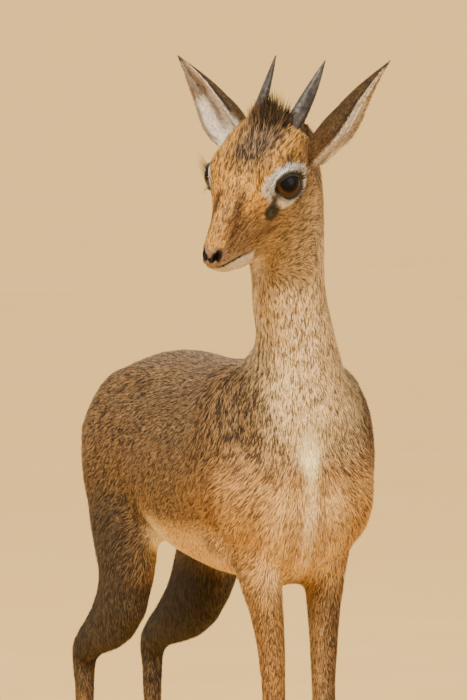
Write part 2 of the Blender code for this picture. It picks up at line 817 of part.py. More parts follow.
def name_body_pieces(body, collection):
    """Splits the cut body into objects named by where each lies."""
    form = bmesh.new()
    form.from_mesh(body.data)
    form.faces.ensure_lookup_table()
    groups = sorted(loose_pieces(form), key=lambda group: -len(group))[:6]
    pieces = {}
    for group in groups:
        verts = {vert for face in group for vert in face.verts}
        middle = sum((vert.co for vert in verts), Vector()) / len(verts)
        lowest = min(vert.co.z for vert in verts)
        if lowest < 0.05:
            name = ("foreleg" if middle.y < 0.03 else "hindleg")
            name += "_left" if middle.x > 0.0 else "_right"
        else:
            name = "neck" if middle.z > 0.37 else "torso"
        piece = bmesh.new()
        copies = {vert: piece.verts.new(vert.co) for vert in verts}
        for face in group:
            piece.faces.new([copies[vert] for vert in face.verts])
        pieces[name] = object_from_bmesh(name, piece, collection)
    form.free()
    remove(body)
    return pieces


def centre_over_origin(collection):
    """Moves every node sideways so that the middle of the whole lies over the origin."""
    places = [vert.co for thing in collection.objects for vert in thing.data.vertices]
    lowest = Vector([min(place[axis] for place in places) for axis in range(3)])
    highest = Vector([max(place[axis] for place in places) for axis in range(3)])
    shift = (lowest + highest) / -2.0
    shift.z = -lowest.z
    for thing in collection.objects:
        thing.data.transform(Matrix.Translation(shift))


def build():
    clear_scene()
    model = new_collection("dik_dik")
    scrap = new_collection("cutters")
    coat = new_material("coat", (0.30, 0.19, 0.10), 0.85)
    ear_skin = new_material("ear_skin", (0.42, 0.32, 0.24), 0.8)
    horn = new_material("horn", (0.05, 0.045, 0.04), 0.45)
    hoof = new_material("hoof", (0.03, 0.025, 0.022), 0.5)
    eye = new_material("eye", (0.03, 0.012, 0.006), 0.08)

    body = join_objects([trunk_form(scrap), neck_form(scrap)] + muscle_forms(scrap)
                        + [leg_form(name, scrap) for name in LEG_STEPS]
                        + [claw for name in LEG_STEPS for claw in dewclaws(name, scrap)])
    blend_flesh(body, BODY_VOXEL, 32, BODY_TRIANGLES, trunk_share)
    head = join_objects([head_form(scrap), neck_form(scrap, 3)] + face_forms(scrap))
    blend_flesh(head, HEAD_VOXEL, 6, HEAD_TRIANGLES)

    point, normal = neck_cut_place()
    cut_away(body, point - normal * GAP / 2.0, normal, scrap)
    cut_away(head, point + normal * GAP / 2.0, -normal, scrap)
    cut_away(body, UPWARD * (SOLE_TO_CORONET + GAP), -UPWARD, scrap)

    whole = grown_copy(head, GAP, scrap)
    rump = grown_copy(body, GAP, scrap)
    for sign in (-1.0, 1.0):
        shape_eye_region(head, sign, scrap)
        cut_nostril(head, sign, scrap)
        cut_gland_slit(head, sign, scrap)
    cut_mouth(head, scrap)
    drop_slivers(head)
    grow_crest(head, scrap)
    head.name = "head"
    head.data.materials.append(coat)
    scrap.objects.unlink(head)
    model.objects.link(head)

    slabs = body_slabs(scrap)
    boolean(body, slabs, "DIFFERENCE")
    for piece in name_body_pieces(body, model).values():
        piece.data.materials.append(coat)

    for side, sign in (("left", 1.0), ("right", -1.0)):
        look, corner, across = eye_axes(sign)
        place = on_head(*mirror_side(EYE_PLACE, sign))
        eyeball = ball("eye_" + side, place, [EYE_RADIUS] * 3, (corner, across, look), model,
                       EYE_SEGMENTS)
        eyeball.data.materials.append(eye)
        spike = horn_form("horn_" + side, sign, model)
        boolean(spike, whole, "DIFFERENCE")
        keep_largest(spike)
        spike.data.materials.append(horn)
        for end in ("fore", "hind"):
            foot = hoof_form("hoof_" + end + "_" + side, end + "leg_" + side, scrap, model)
            foot.data.materials.append(hoof)

    for name, (root, tip, opening) in EARS.items():
        ear = ear_form(name, on_head(*root), above_skull(*tip), opening, model)
        boolean(ear, whole, "DIFFERENCE")
        keep_largest(ear)
        ear.data.materials.append(ear_skin)

    tail = tail_form("tail", model)
    boolean(tail, rump, "DIFFERENCE")
    keep_largest(tail)
    tail.data.materials.append(coat)

    for leftover in (whole, rump, slabs):
        remove(leftover)
    bpy.data.collections.remove(scrap)
    centre_over_origin(model)


build()
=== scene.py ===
"""Looks of a standing dik-dik buck: skin, coat, eyes, ears, horns, hooves, floor, light, camera.

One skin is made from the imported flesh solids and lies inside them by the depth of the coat.
The coat is several hundred thousand thin blades, grown by the same rule over the whole skin.
"""
import math
import random

import bmesh
import bpy
import numpy as np
from mathutils import Matrix, Vector
from mathutils.bvhtree import BVHTree


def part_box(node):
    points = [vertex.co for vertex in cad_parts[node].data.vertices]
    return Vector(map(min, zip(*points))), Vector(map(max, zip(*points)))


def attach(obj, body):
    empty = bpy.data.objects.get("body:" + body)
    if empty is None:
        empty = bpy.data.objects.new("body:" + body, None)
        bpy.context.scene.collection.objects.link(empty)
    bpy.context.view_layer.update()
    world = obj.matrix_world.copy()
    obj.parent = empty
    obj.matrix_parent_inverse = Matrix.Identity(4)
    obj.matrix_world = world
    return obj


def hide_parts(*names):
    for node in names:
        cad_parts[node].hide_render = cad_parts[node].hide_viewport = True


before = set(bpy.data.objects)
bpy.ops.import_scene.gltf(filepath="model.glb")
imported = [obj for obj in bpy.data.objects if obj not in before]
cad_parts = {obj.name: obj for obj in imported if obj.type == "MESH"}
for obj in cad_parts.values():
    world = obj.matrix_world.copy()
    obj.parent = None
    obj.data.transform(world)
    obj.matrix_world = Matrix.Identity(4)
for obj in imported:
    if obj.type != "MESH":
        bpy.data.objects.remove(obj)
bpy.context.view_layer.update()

# Sizes, in metres unless a name says otherwise
CM = 0.01
MM = 0.001
SKIN_VOXEL = 2.1 * MM
SEAM_OVERLAP = 0.3 * MM
EYE_RADIUS = 12.2 * MM
SOCKET_FILL = 13.5 * MM
LID_HALF_WIDTH = 8.0 * MM
LID_HALF_HEIGHT = 5.9 * MM
HORN_BROAD = 5.2 * MM
HORN_NARROW = 4.2 * MM
HORN_TURN = math.radians(35.0)
EAR_THICKNESS = 1.5 * MM
EAR_COAT = 0.4 * MM
SOLE_TO_CORONET = 16.5 * MM
BLADES_PER_PIECE = 90000
BAKE_PATCH = 0.003
ROOT_DEPTH = 0.25 * MM
RING_DEPTH = {1.0: 0.2 * MM, -1.0: 1.5 * MM}
KNEE = 0.45
# How much darker the skin is than its coat: partly the undercoat's own colour, partly painted shade in
# the gaps between the blades
UNDERCOAT_AND_GAP_SHADE = 0.62
STREAK = 0.48

# The head's turn, as in the solids
HEAD_YAW = math.radians(49.0)
HEAD_ROLL = math.radians(4.5)
FACE_SLOPE = math.radians(50.0)
SKULL_SLOPE = math.radians(10.0)

# The solids were drawn with the middle between the eyes here, then centred over the origin
DRAWN_EYES = Vector((-0.0398, -0.1504, 0.486))

# Places on the head in cm: from the eyes to the nose, out of the forehead, to the left
EYE_PLACE = (0.00, -0.25, 2.03)
EYE_LOOK = (0.31, 0.31, 0.90)
GLAND_PLACE = (1.90, -0.74, 1.80)
NOSTRIL_PLACE = (6.34, 0.18, 0.40)
MOUTH_LINE = [(6.55, -0.50), (6.05, -0.71), (5.40, -1.08), (4.80, -1.50), (4.20, -1.97)]
CREST_SIDE = 0.30
BEHIND_HORN = (-4.75, -0.85, 1.90)
HORN_ROOT = (-3.30, 0.35, 1.32)
HORN_TIP = (-8.75, 0.90, 1.78)
EARS = {
    "ear_left": ((-3.05, -1.60, 2.08), (-5.5, 6.8, 6.7), Vector((0.82, -0.56, 0.10))),
    "ear_right": ((-3.25, -1.55, -2.00), (-5.0, 5.9, -8.15), Vector((-0.98, -0.21, 0.0))),
}
FLESH = ["head", "neck", "torso", "tail", "foreleg_left", "foreleg_right", "hindleg_left",
         "hindleg_right"]
FEET = ["hoof_fore_left", "hoof_fore_right", "hoof_hind_left", "hoof_hind_right"]


def head_axes():
    """Unit vectors from the eyes to the nose, out of the forehead, and to the left."""
    level = Vector((-math.sin(HEAD_YAW), -math.cos(HEAD_YAW), 0.0))
    left = Matrix.Rotation(-HEAD_ROLL, 3, level) @ Vector((-level.y, level.x, 0.0))
    up = level.cross(left)
    nose = level * math.cos(FACE_SLOPE) - up * math.sin(FACE_SLOPE)
    brow = level * math.sin(FACE_SLOPE) + up * math.cos(FACE_SLOPE)
    return nose, brow, left


def box_middle(node):
    low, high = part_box(node)
    return (Vector(low) + Vector(high)) / 2.0


NOSE, BROW, LEFT = head_axes()
EYES_MIDDLE = (box_middle("eye_left") + box_middle("eye_right")) / 2.0 - BROW * EYE_PLACE[1] * CM
DRAWN_SHIFT = EYES_MIDDLE - DRAWN_EYES


def on_head(along, out, side):
    """The world place of a point given in cm along the head's axes."""
    return EYES_MIDDLE + (NOSE * along + BROW * out + LEFT * side) * CM


def head_direction(along, out, side):
    return (NOSE * along + BROW * out + LEFT * side).normalized()


def above_skull(forward, up, side):
    """The world place of a point given in cm on axes that lie nearly level with the skull."""
    tilt = FACE_SLOPE - SKULL_SLOPE
    return on_head(forward * math.cos(tilt) - up * math.sin(tilt),
                   forward * math.sin(tilt) + up * math.cos(tilt), side)


def mirror_side(place, sign):
    return (place[0], place[1], place[2] * sign)


def eye_axes(sign):
    """The eye's look direction, the line from its back corner to its front one, and up its lids."""
    look = head_direction(*mirror_side(EYE_LOOK, sign))
    corner = NOSE * 0.84 + BROW * 0.55
    corner = (corner - look * corner.dot(look)).normalized()
    return look, corner, corner.cross(look) * sign


# Small numeric helpers on arrays of points

def smooth_step(low, high, value):
    share = np.clip((value - low) / (high - low), 0.0, 1.0)
    return share * share * (3.0 - 2.0 * share)


def bump_at(value, middle, width):
    """1 at the middle, falling off softly over the width on both sides."""
    return np.exp(-((value - middle) / width) ** 2)


def unit(vectors):
    return vectors / np.maximum(np.linalg.norm(vectors, axis=-1, keepdims=True), 1e-9)


def ripple(points, size, seed, waves=7):
    """A smooth, patchy value, mostly between -1 and 1, that varies over the given size."""
    draw = np.random.default_rng(seed)
    value = np.zeros(len(points))
    for _ in range(waves):
        direction = unit(draw.normal(size=3)) * draw.uniform(0.6, 1.6) * 2.0 * math.pi / size
        value += np.sin(points @ direction + draw.uniform(0.0, 6.3))
    return value / math.sqrt(waves) / 1.2


def head_places(points):
    """Head coordinates in cm of world points."""
    offset = (points - np.array(EYES_MIDDLE)) / CM
    return offset @ np.array([NOSE, BROW, LEFT]).T


def drawn_places(points):
    return points - np.array(DRAWN_SHIFT)


def linear(red, green, blue):
    """A colour read in sRGB, 0 to 255, as linear light."""
    value = np.array([red, green, blue]) / 255.0
    return np.where(value <= 0.04045, value / 12.92, ((value + 0.055) / 1.055) ** 2.4)


# Mesh helpers

def new_collection(name):
    collection = bpy.data.collections.new(name)
    bpy.context.scene.collection.children.link(collection)
    return collection


MODEL = new_collection("dik_dik_looks")


def new_object(name, mesh, material=None):
    thing = bpy.data.objects.new(name, mesh)
    MODEL.objects.link(thing)
    if material is not None:
        mesh.materials.append(material)
    return thing


def mesh_from_arrays(name, points, faces):
    """A mesh from an array of points and lists of faces of equal or mixed length."""
    mesh = bpy.data.meshes.new(name)
    mesh.from_pydata([tuple(point) for point in points], [], faces)
    mesh.validate()
    return mesh


def settle(thing):
    """Replaces an object's modifiers by the mesh that they make."""
    graph = bpy.context.evaluated_depsgraph_get()
    mesh = bpy.data.meshes.new_from_object(thing.evaluated_get(graph))
    old = thing.data
    thing.modifiers.clear()
    thing.data = mesh
    bpy.data.meshes.remove(old)


def places_of(mesh):
    points = np.zeros(len(mesh.vertices) * 3)
    mesh.vertices.foreach_get("co", points)
    return points.reshape(-1, 3)


def normals_of(mesh):
    normals = np.zeros(len(mesh.vertices) * 3)
    mesh.vertices.foreach_get("normal", normals)
    return normals.reshape(-1, 3)


def move_places(mesh, points):
    mesh.vertices.foreach_set("co", points.ravel())
    mesh.update()


def shade_smooth(mesh):
    mesh.polygons.foreach_set("use_smooth", np.ones(len(mesh.polygons), bool))
    mesh.update()


def grid_faces(rows, columns, closed):
    """Quads between rows of points; closed rows join their last point to their first."""
    faces = []
    for row in range(rows - 1):
        for column in range(columns if closed else columns - 1):
            after = (column + 1) % columns
            faces.append((row * columns + column, row * columns + after,
                          (row + 1) * columns + after, (row + 1) * columns + column))
    return faces


def loft(name, rings, material=None):
    """A closed body through rings of equal length, with a fan of faces at each end."""
    count = len(rings[0])
    points = [point for ring in rings for point in ring]
    faces = grid_faces(len(rings), count, True)
    for start, ring in ((0, rings[0]), ((len(rings) - 1) * count, rings[-1])):
        middle = len(points)
        points.append(sum(ring, Vector()) / count)
        for index in range(count):
            faces.append((start + index, start + (index + 1) % count, middle))
    mesh = mesh_from_arrays(name, points, faces)
    form = bmesh.new()
    form.from_mesh(mesh)
    bmesh.ops.recalc_face_normals(form, faces=form.faces)
    form.to_mesh(mesh)
    form.free()
    shade_smooth(mesh)
    return new_object(name, mesh, material)


def smooth_rows(rows, steps):
    """Rows filled in between by a curve that passes through each of them."""
    filled = []
    for index in range(len(rows) - 1):
        four = [rows[max(index - 1, 0)], rows[index], rows[index + 1],
                rows[min(index + 2, len(rows) - 1)]]
        for step in range(steps):
            t = step / steps
            filled.append(tuple(
                0.5 * (2 * b + (c - a) * t + (2 * a - 5 * b + 4 * c - d) * t * t
                       + (3 * b - a - 3 * c + d) * t ** 3)
                for a, b, c, d in zip(*four)))
    filled.append(tuple(rows[-1]))
    return filled


# Materials

def new_material(name, roughness, specular=0.5):
    """A material, its node tree and its main shader."""
    material = bpy.data.materials.new(name)
    material.use_nodes = True
    tree = material.node_tree
    shader = tree.nodes["Principled BSDF"]
    shader.inputs["Roughness"].default_value = roughness
    shader.inputs["Specular IOR Level"].default_value = specular
    return material, tree, shader


def add_node(tree, kind, **values):
    node = tree.nodes.new(kind)
    for name, value in values.items():
        if name in node.inputs:
            node.inputs[name].default_value = value
        else:
            setattr(node, name, value)
    return node


def noise_node(tree, scale, detail=4.0, stretch=(1.0, 1.0, 1.0)):
    """Noise on object coordinates, optionally stretched along an axis."""
    place = add_node(tree, "ShaderNodeTexCoord")
    mapping = add_node(tree, "ShaderNodeMapping")
    mapping.inputs["Scale"].default_value = stretch
    noise = add_node(tree, "ShaderNodeTexNoise", Scale=scale, Detail=detail)
    tree.links.new(place.outputs["Object"], mapping.inputs["Vector"])
    tree.links.new(mapping.outputs["Vector"], noise.inputs["Vector"])
    return noise


def add_bump(tree, shader, height, distance, strength=1.0):
    bump = add_node(tree, "ShaderNodeBump", Strength=strength, Distance=distance)
    tree.links.new(height, bump.inputs["Height"])
    tree.links.new(bump.outputs["Normal"], shader.inputs["Normal"])
    return bump


def ramp(tree, source, stops):
    node = add_node(tree, "ShaderNodeValToRGB")
    elements = node.color_ramp.elements
    while len(elements) < len(stops):
        elements.new(0.5)
    for element, (place, colour) in zip(elements, stops):
        element.position = place
        element.color = (*colour, 1.0)
    tree.links.new(source, node.inputs["Fac"])
    return node


def mix_colours(tree, share, first, second, blend="MIX"):
    node = add_node(tree, "ShaderNodeMix", data_type="RGBA", blend_type=blend)
    for socket, value in ((node.inputs[0], share), (node.inputs[6], first),
                          (node.inputs[7], second)):
        if isinstance(value, bpy.types.NodeSocket):
            tree.links.new(value, socket)
        else:
            socket.default_value = value
    return node.outputs[2]


def tinted_material(name, roughness, noise_scale, noise_depth, bump_distance):
    """A material whose colour is the mesh's own tint, broken up by noise, with fine bump."""
    material, tree, shader = new_material(name, roughness, 0.25)
    tint = add_node(tree, "ShaderNodeAttribute", attribute_name="tint")
    noise = noise_node(tree, noise_scale)
    light = 1.0 + noise_depth
    shade = ramp(tree, noise.outputs["Fac"], [
        (0.3, (1.0 - noise_depth,) * 3), (0.7, (light,) * 3)])
    colour = mix_colours(tree, 1.0, tint.outputs["Color"], shade.outputs["Color"], "MULTIPLY")
    tree.links.new(colour, shader.inputs["Base Color"])
    if bump_distance > 0.0:
        add_bump(tree, shader, noise.outputs["Fac"], bump_distance)
    return material


def skin_material():
    """The skin's tint, darkened for the undercoat and as painted shade between the blades, with fine
    bump, glossy where the bare skin is wet.
    """
    material = tinted_material("skin", 0.7, 420.0, 0.18, 0.0006)
    tree = material.node_tree
    wet = add_node(tree, "ShaderNodeAttribute", attribute_name="wet")
    rough = ramp(tree, wet.outputs["Fac"], [(0.0, (0.70,) * 3), (1.0, (0.24,) * 3)])
    tree.links.new(rough.outputs["Color"], tree.nodes["Principled BSDF"].inputs["Roughness"])
    return material


# The skin: gathered from the flesh solids, melted, sculpted

def node_triangles(name):
    """A welded copy of a node's surface: its points and triangles."""
    form = bmesh.new()
    form.from_mesh(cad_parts[name].data)
    bmesh.ops.remove_doubles(form, verts=form.verts, dist=0.001 * MM)
    bmesh.ops.triangulate(form, faces=form.faces)
    form.normal_update()
    points = np.array([vert.co for vert in form.verts])
    normals = np.array([vert.normal for vert in form.verts])
    faces = [[vert.index for vert in face.verts] for face in form.faces]
    form.free()
    return points, normals, faces


def gather_flesh():
    """The flesh solids, a little swollen so that they overlap, with the eye sockets filled."""
    form = bmesh.new()
    for name in FLESH:
        points, normals, faces = node_triangles(name)
        swollen = points + normals * SEAM_OVERLAP
        if name == "head":
            swollen = flatten_crest(swollen)
        verts = [form.verts.new(point) for point in swollen]
        for face in faces:
            form.faces.new([verts[index] for index in face])
    for sign in (-1.0, 1.0):
        place = Matrix.Translation(on_head(*mirror_side(EYE_PLACE, sign)))
        bmesh.ops.create_uvsphere(form, u_segments=48, v_segments=24, radius=SOCKET_FILL,
                                  matrix=place)
    mesh = bpy.data.meshes.new("skin")
    form.to_mesh(mesh)
    form.free()
    return new_object("skin", mesh)


def flatten_crest(points):
    """Lays the solids' crown locks down on the skull."""
    place = head_places(points)
    along, out, side = place.T
    crown = 1.86 - 0.20 * (along + 1.0) ** 2
    over = np.where((along < -2.4) & (np.abs(side) < 0.95), np.maximum(out - crown, 0.0), 0.0)
    return points - over[:, None] * CM * np.array(BROW)


def melt(thing):
    """Melts the overlapping solids into one closed surface and softens their facets."""
    remesh = thing.modifiers.new("melt", "REMESH")
    remesh.mode = "VOXEL"
    remesh.voxel_size = SKIN_VOXEL
    soft = thing.modifiers.new("soft", "SMOOTH")
    soft.factor = 0.5
    soft.iterations = 7
    settle(thing)
    keep_largest(thing)


def keep_largest(thing):
    """Drops every closed surface of an object but the one with the most faces."""
    form = bmesh.new()
    form.from_mesh(thing.data)
    form.faces.ensure_lookup_table()
    seen = np.zeros(len(form.faces), bool)
    groups = []
    for start in form.faces:
        if seen[start.index]:
            continue
        group, front = [], [start]
        seen[start.index] = True
        while front:
            face = front.pop()
            group.append(face)
            for edge in face.edges:
                for other in edge.link_faces:
                    if not seen[other.index]:
                        seen[other.index] = True
                        front.append(other)
        groups.append(group)
    groups.sort(key=len)
    for group in groups[:-1]:
        bmesh.ops.delete(form, geom=group, context="FACES")
    form.to_mesh(thing.data)
    form.free()


def refine_face(thing):
    """Splits the faces of the muzzle, mouth and eye regions for the finer sculpting."""
    regions = [(on_head(5.6, -0.7, 0.0), 19.0 * MM), (on_head(6.4, -0.3, 0.0), 9.0 * MM)]
    for sign in (-1.0, 1.0):
        look, _, _ = eye_axes(sign)
        regions.append((on_head(*mirror_side(EYE_PLACE, sign)) + look * EYE_RADIUS, 15.0 * MM))
        regions.append((on_head(*mirror_side(GLAND_PLACE, sign)), 8.0 * MM))
    form = bmesh.new()
    form.from_mesh(thing.data)
    for centre, radius in regions:
        edges = [edge for edge in form.edges
                 if (edge.verts[0].co - centre).length < radius
                 and (edge.verts[1].co - centre).length < radius]
        bmesh.ops.subdivide_edges(form, edges=edges, cuts=1, use_grid_fill=True)
    bmesh.ops.triangulate(form, faces=[face for face in form.faces if len(face.verts) > 4])
    form.to_mesh(thing.data)
    form.free()


def coat_depth(points):
    """How far the skin lies inside the solids' outline, in metres."""
    place, drawn = head_places(points), drawn_places(points)
    on_the_head = head_share(points)
    depth = 1.1 * MM - 0.4 * MM * on_the_head
    depth -= 0.3 * MM * on_the_head * smooth_step(3.0, 5.5, place[:, 0])
    thin = smooth_step(0.25, 0.17, drawn[:, 2])
    return depth * (1.0 - thin) + 0.6 * MM * thin


def neck_cut():
    """Where head and neck meet in the solids: a point and the direction toward the head."""
    return (np.array(Vector((-0.0090, -0.1235, 0.4345)) + DRAWN_SHIFT),
            np.array(Vector((-0.30, -0.30, 0.90)).normalized()))


def head_share(points):
    """1 on the head and 0 from the neck down, with a soft change between them."""
    point, normal = neck_cut()
    above = (points - point) @ normal
    place = head_places(points)
    on_neck = smooth_step(-1.0, -3.5, place[:, 1]) * smooth_step(2.5, 0.0, place[:, 0])
    return smooth_step(-0.012, 0.016, above - 0.022 * on_neck)


def mouth_curve(along):
    """The mouth line's height on the face at each place along it, in cm."""
    rows = sorted(smooth_rows(MOUTH_LINE, 6))
    return np.interp(along, [row[0] for row in rows], [row[1] for row in rows])


def mouth_gap(place):
    """Signed distance from the mouth line in cm, and how much of the line is open there."""
    along, out, _ = place.T
    shown = smooth_step(4.05, 4.45, along) * smooth_step(0.6, 0.2, np.abs(out + 1.2) - 0.6)
    return out - mouth_curve(along), shown


def eye_places(points, sign):
    """Coordinates round an eye in mm: forward to its front corner, up its lids, along its look."""
    centre = on_head(*mirror_side(EYE_PLACE, sign))
    look, corner, up = eye_axes(sign)
    offset = (points - np.array(centre)) / MM
    return offset @ np.array([corner, up, look]).T


def lid_edge(angle, grow=0.0):
    """The opening's edge in mm at an angle round the eye, more pointed at the front corner."""
    width = LID_HALF_WIDTH / MM + grow
    height = LID_HALF_HEIGHT / MM + grow
    across = np.cos(angle)
    pointed = 1.0 + 0.16 * np.maximum(across, 0.0) ** 6
    return width * across * pointed, height * np.sin(angle) - 0.4


def opening_distance(place):
    """How far outside the lids' opening a place lies, in mm, negative inside it."""
    forward, up, _ = place.T
    up = up + 0.4
    angle = np.arctan2(up / (LID_HALF_HEIGHT / MM), forward / (LID_HALF_WIDTH / MM))
    edge_forward, edge_up = lid_edge(angle)
    return np.hypot(forward, up) - np.hypot(edge_forward, edge_up + 0.4)


def sculpt(thing):
    """Sinks the skin below the coat and models lids, gland, nostrils and mouth in it."""
    mesh = thing.data
    points, normals = places_of(mesh), normals_of(mesh)
    place = head_places(points)
    sink = coat_depth(points)

    for sign in (-1.0, 1.0):
        eye = eye_places(points, sign)
        near = (eye[:, 2] > 0.0) & (np.linalg.norm(eye, axis=1) < 19.0)
        outside = opening_distance(eye)
        sink += np.where(near, 3.4 * MM * smooth_step(2.2, 0.8, outside), 0.0)
        sink -= np.where(near, 0.7 * MM * bump_at(outside, 3.2, 1.2), 0.0)
        sink += np.where(near, 0.5 * MM * bump_at(outside, 5.3, 0.8), 0.0)
        sink += np.where(near, RING_DEPTH[sign] * bump_at(outside, 4.0, 3.0), 0.0)

        behind_horn = np.linalg.norm(place - np.array(mirror_side(BEHIND_HORN, sign)), axis=1)
        sink += 6.5 * MM * smooth_step(1.8, 0.3, behind_horn)
        reach = gland_reach(place, sign)
        sink += 1.2 * MM * smooth_step(0.18, 0.06, reach) - 0.6 * MM * bump_at(reach, 0.28, 0.14)

        nostril = place - np.array(mirror_side(NOSTRIL_PLACE, sign))
        slant = nostril[:, 1] * 0.75 + nostril[:, 0] * 0.35 + sign * nostril[:, 2] * 0.55
        cross = sign * nostril[:, 2] * 0.8 - nostril[:, 1] * 0.55
        reach = np.sqrt((slant / 0.27) ** 2 + (cross / 0.14) ** 2)
        front = smooth_step(5.9, 6.2, place[:, 0])
        sink += front * (2.6 * MM * smooth_step(1.1, 0.2, reach) - 0.5 * MM * bump_at(reach, 1.6, 0.4))

    gap, shown = mouth_gap(place)
    sink += shown * 1.5 * MM * bump_at(gap, 0.0, 0.075)
    sink -= shown * 0.45 * MM * (bump_at(gap, 0.22, 0.12) + bump_at(gap, -0.22, 0.13))
    middle = smooth_step(0.10, 0.0, np.abs(place[:, 2])) * smooth_step(6.1, 6.4, place[:, 0])
    sink += 0.5 * MM * middle * smooth_step(-0.6, -0.4, place[:, 1])

    move_places(mesh, points - normals * sink[:, None])
    shade_smooth(mesh)


# Ears

def ear_grid(root, tip, opening, steps, half_points, lift):
    """Rows of points across a cupped ear, at a height over its outer side as a share of it."""
    axis = tip - root
    along = axis.normalized()
    face = (opening - along * opening.dot(along)).normalized()
    side = along.cross(face)
    rows = []
    for step in range(steps + 1):
        t = step / steps
        grow = math.sin(math.pi * min(t / 0.50, 1.0) / 2.0)
        taper = 1.0 if t < 0.30 else 1.0 - ((t - 0.30) / 0.715) ** 1.25
        radius = (10.0 + 5.2 * grow) * MM * taper
        sweep = math.radians(118.0 - 34.0 * t)
        inward = 3.0 * math.sin(math.pi * t) + 3.4 * max(1.0 - t / 0.45, 0.0)
        sway = face * (radius * 0.70 - inward * MM)
        radius -= EAR_COAT * taper
        centre = root + axis * t + sway
        thick = EAR_THICKNESS * (1.25 - 0.65 * t)
        row = []
        for index in range(2 * half_points + 1):
            share = (index - half_points) / half_points
            angle = sweep * share
            edge = 1.0 - 0.60 * abs(share) ** 3
            fold = 0.35 * MM * math.cos(share * 9.0) * math.sin(math.pi * t) * lift
            reach = max(radius - lift * thick * edge - fold, radius * 0.45)
            row.append(centre + (side * math.sin(angle) - face * math.cos(angle)) * reach)
        rows.append(row)
    return rows


def build_ear(name):
    """A thin closed ear shell with its outer side, inner side and rim."""
    root, tip, opening = EARS[name]
    steps, half_points = 44, 12
    place = (on_head(*root), above_skull(*tip), opening, steps, half_points)
    outer, inner = ear_grid(*place, 0.0), ear_grid(*place, 1.0)
    width = 2 * half_points + 1
    rings = [high + low[::-1] for high, low in zip(outer, inner)]
    points = [point for ring in rings for point in ring]
    faces = grid_faces(steps + 1, 2 * width, True)
    for start in (0, steps * 2 * width):
        for index in range(width - 1):
            faces.append((start + index, start + index + 1,
                          start + 2 * width - 2 - index, start + 2 * width - 1 - index))
    mesh = mesh_from_arrays(name + "_skin", points, faces)
    form = bmesh.new()
    form.from_mesh(mesh)
    bmesh.ops.recalc_face_normals(form, faces=form.faces)
    form.to_mesh(mesh)
    form.free()
    along = np.repeat(np.arange(steps + 1) / steps, 2 * width)
    share = (np.arange(width) - half_points) / half_points
    across = np.tile(np.concatenate([share, share[::-1]]), steps + 1)
    inside = np.tile(np.repeat([0.0, 1.0], width), steps + 1)
    return mesh, np.stack([along, across, inside], 1)


# Markings: the same rule colours the skin and every blade of the coat

class Shades:
    """Light and dark hair colours and the share of dark hairs, for an array of places."""

    def __init__(self, count, light, dark, share):
        self.light = np.tile(linear(*light), (count, 1))
        self.dark = np.tile(linear(*dark), (count, 1))
        self.share = np.full(count, share)

    def paint(self, weight, light, dark, share):
        """Lays another pair of colours over these by a weight from 0 to 1."""
        weight = np.clip(weight, 0.0, 1.0)
        self.light += weight[:, None] * (linear(*light) - self.light)
        self.dark += weight[:, None] * (linear(*dark) - self.dark)
        self.share += weight * (share - self.share)


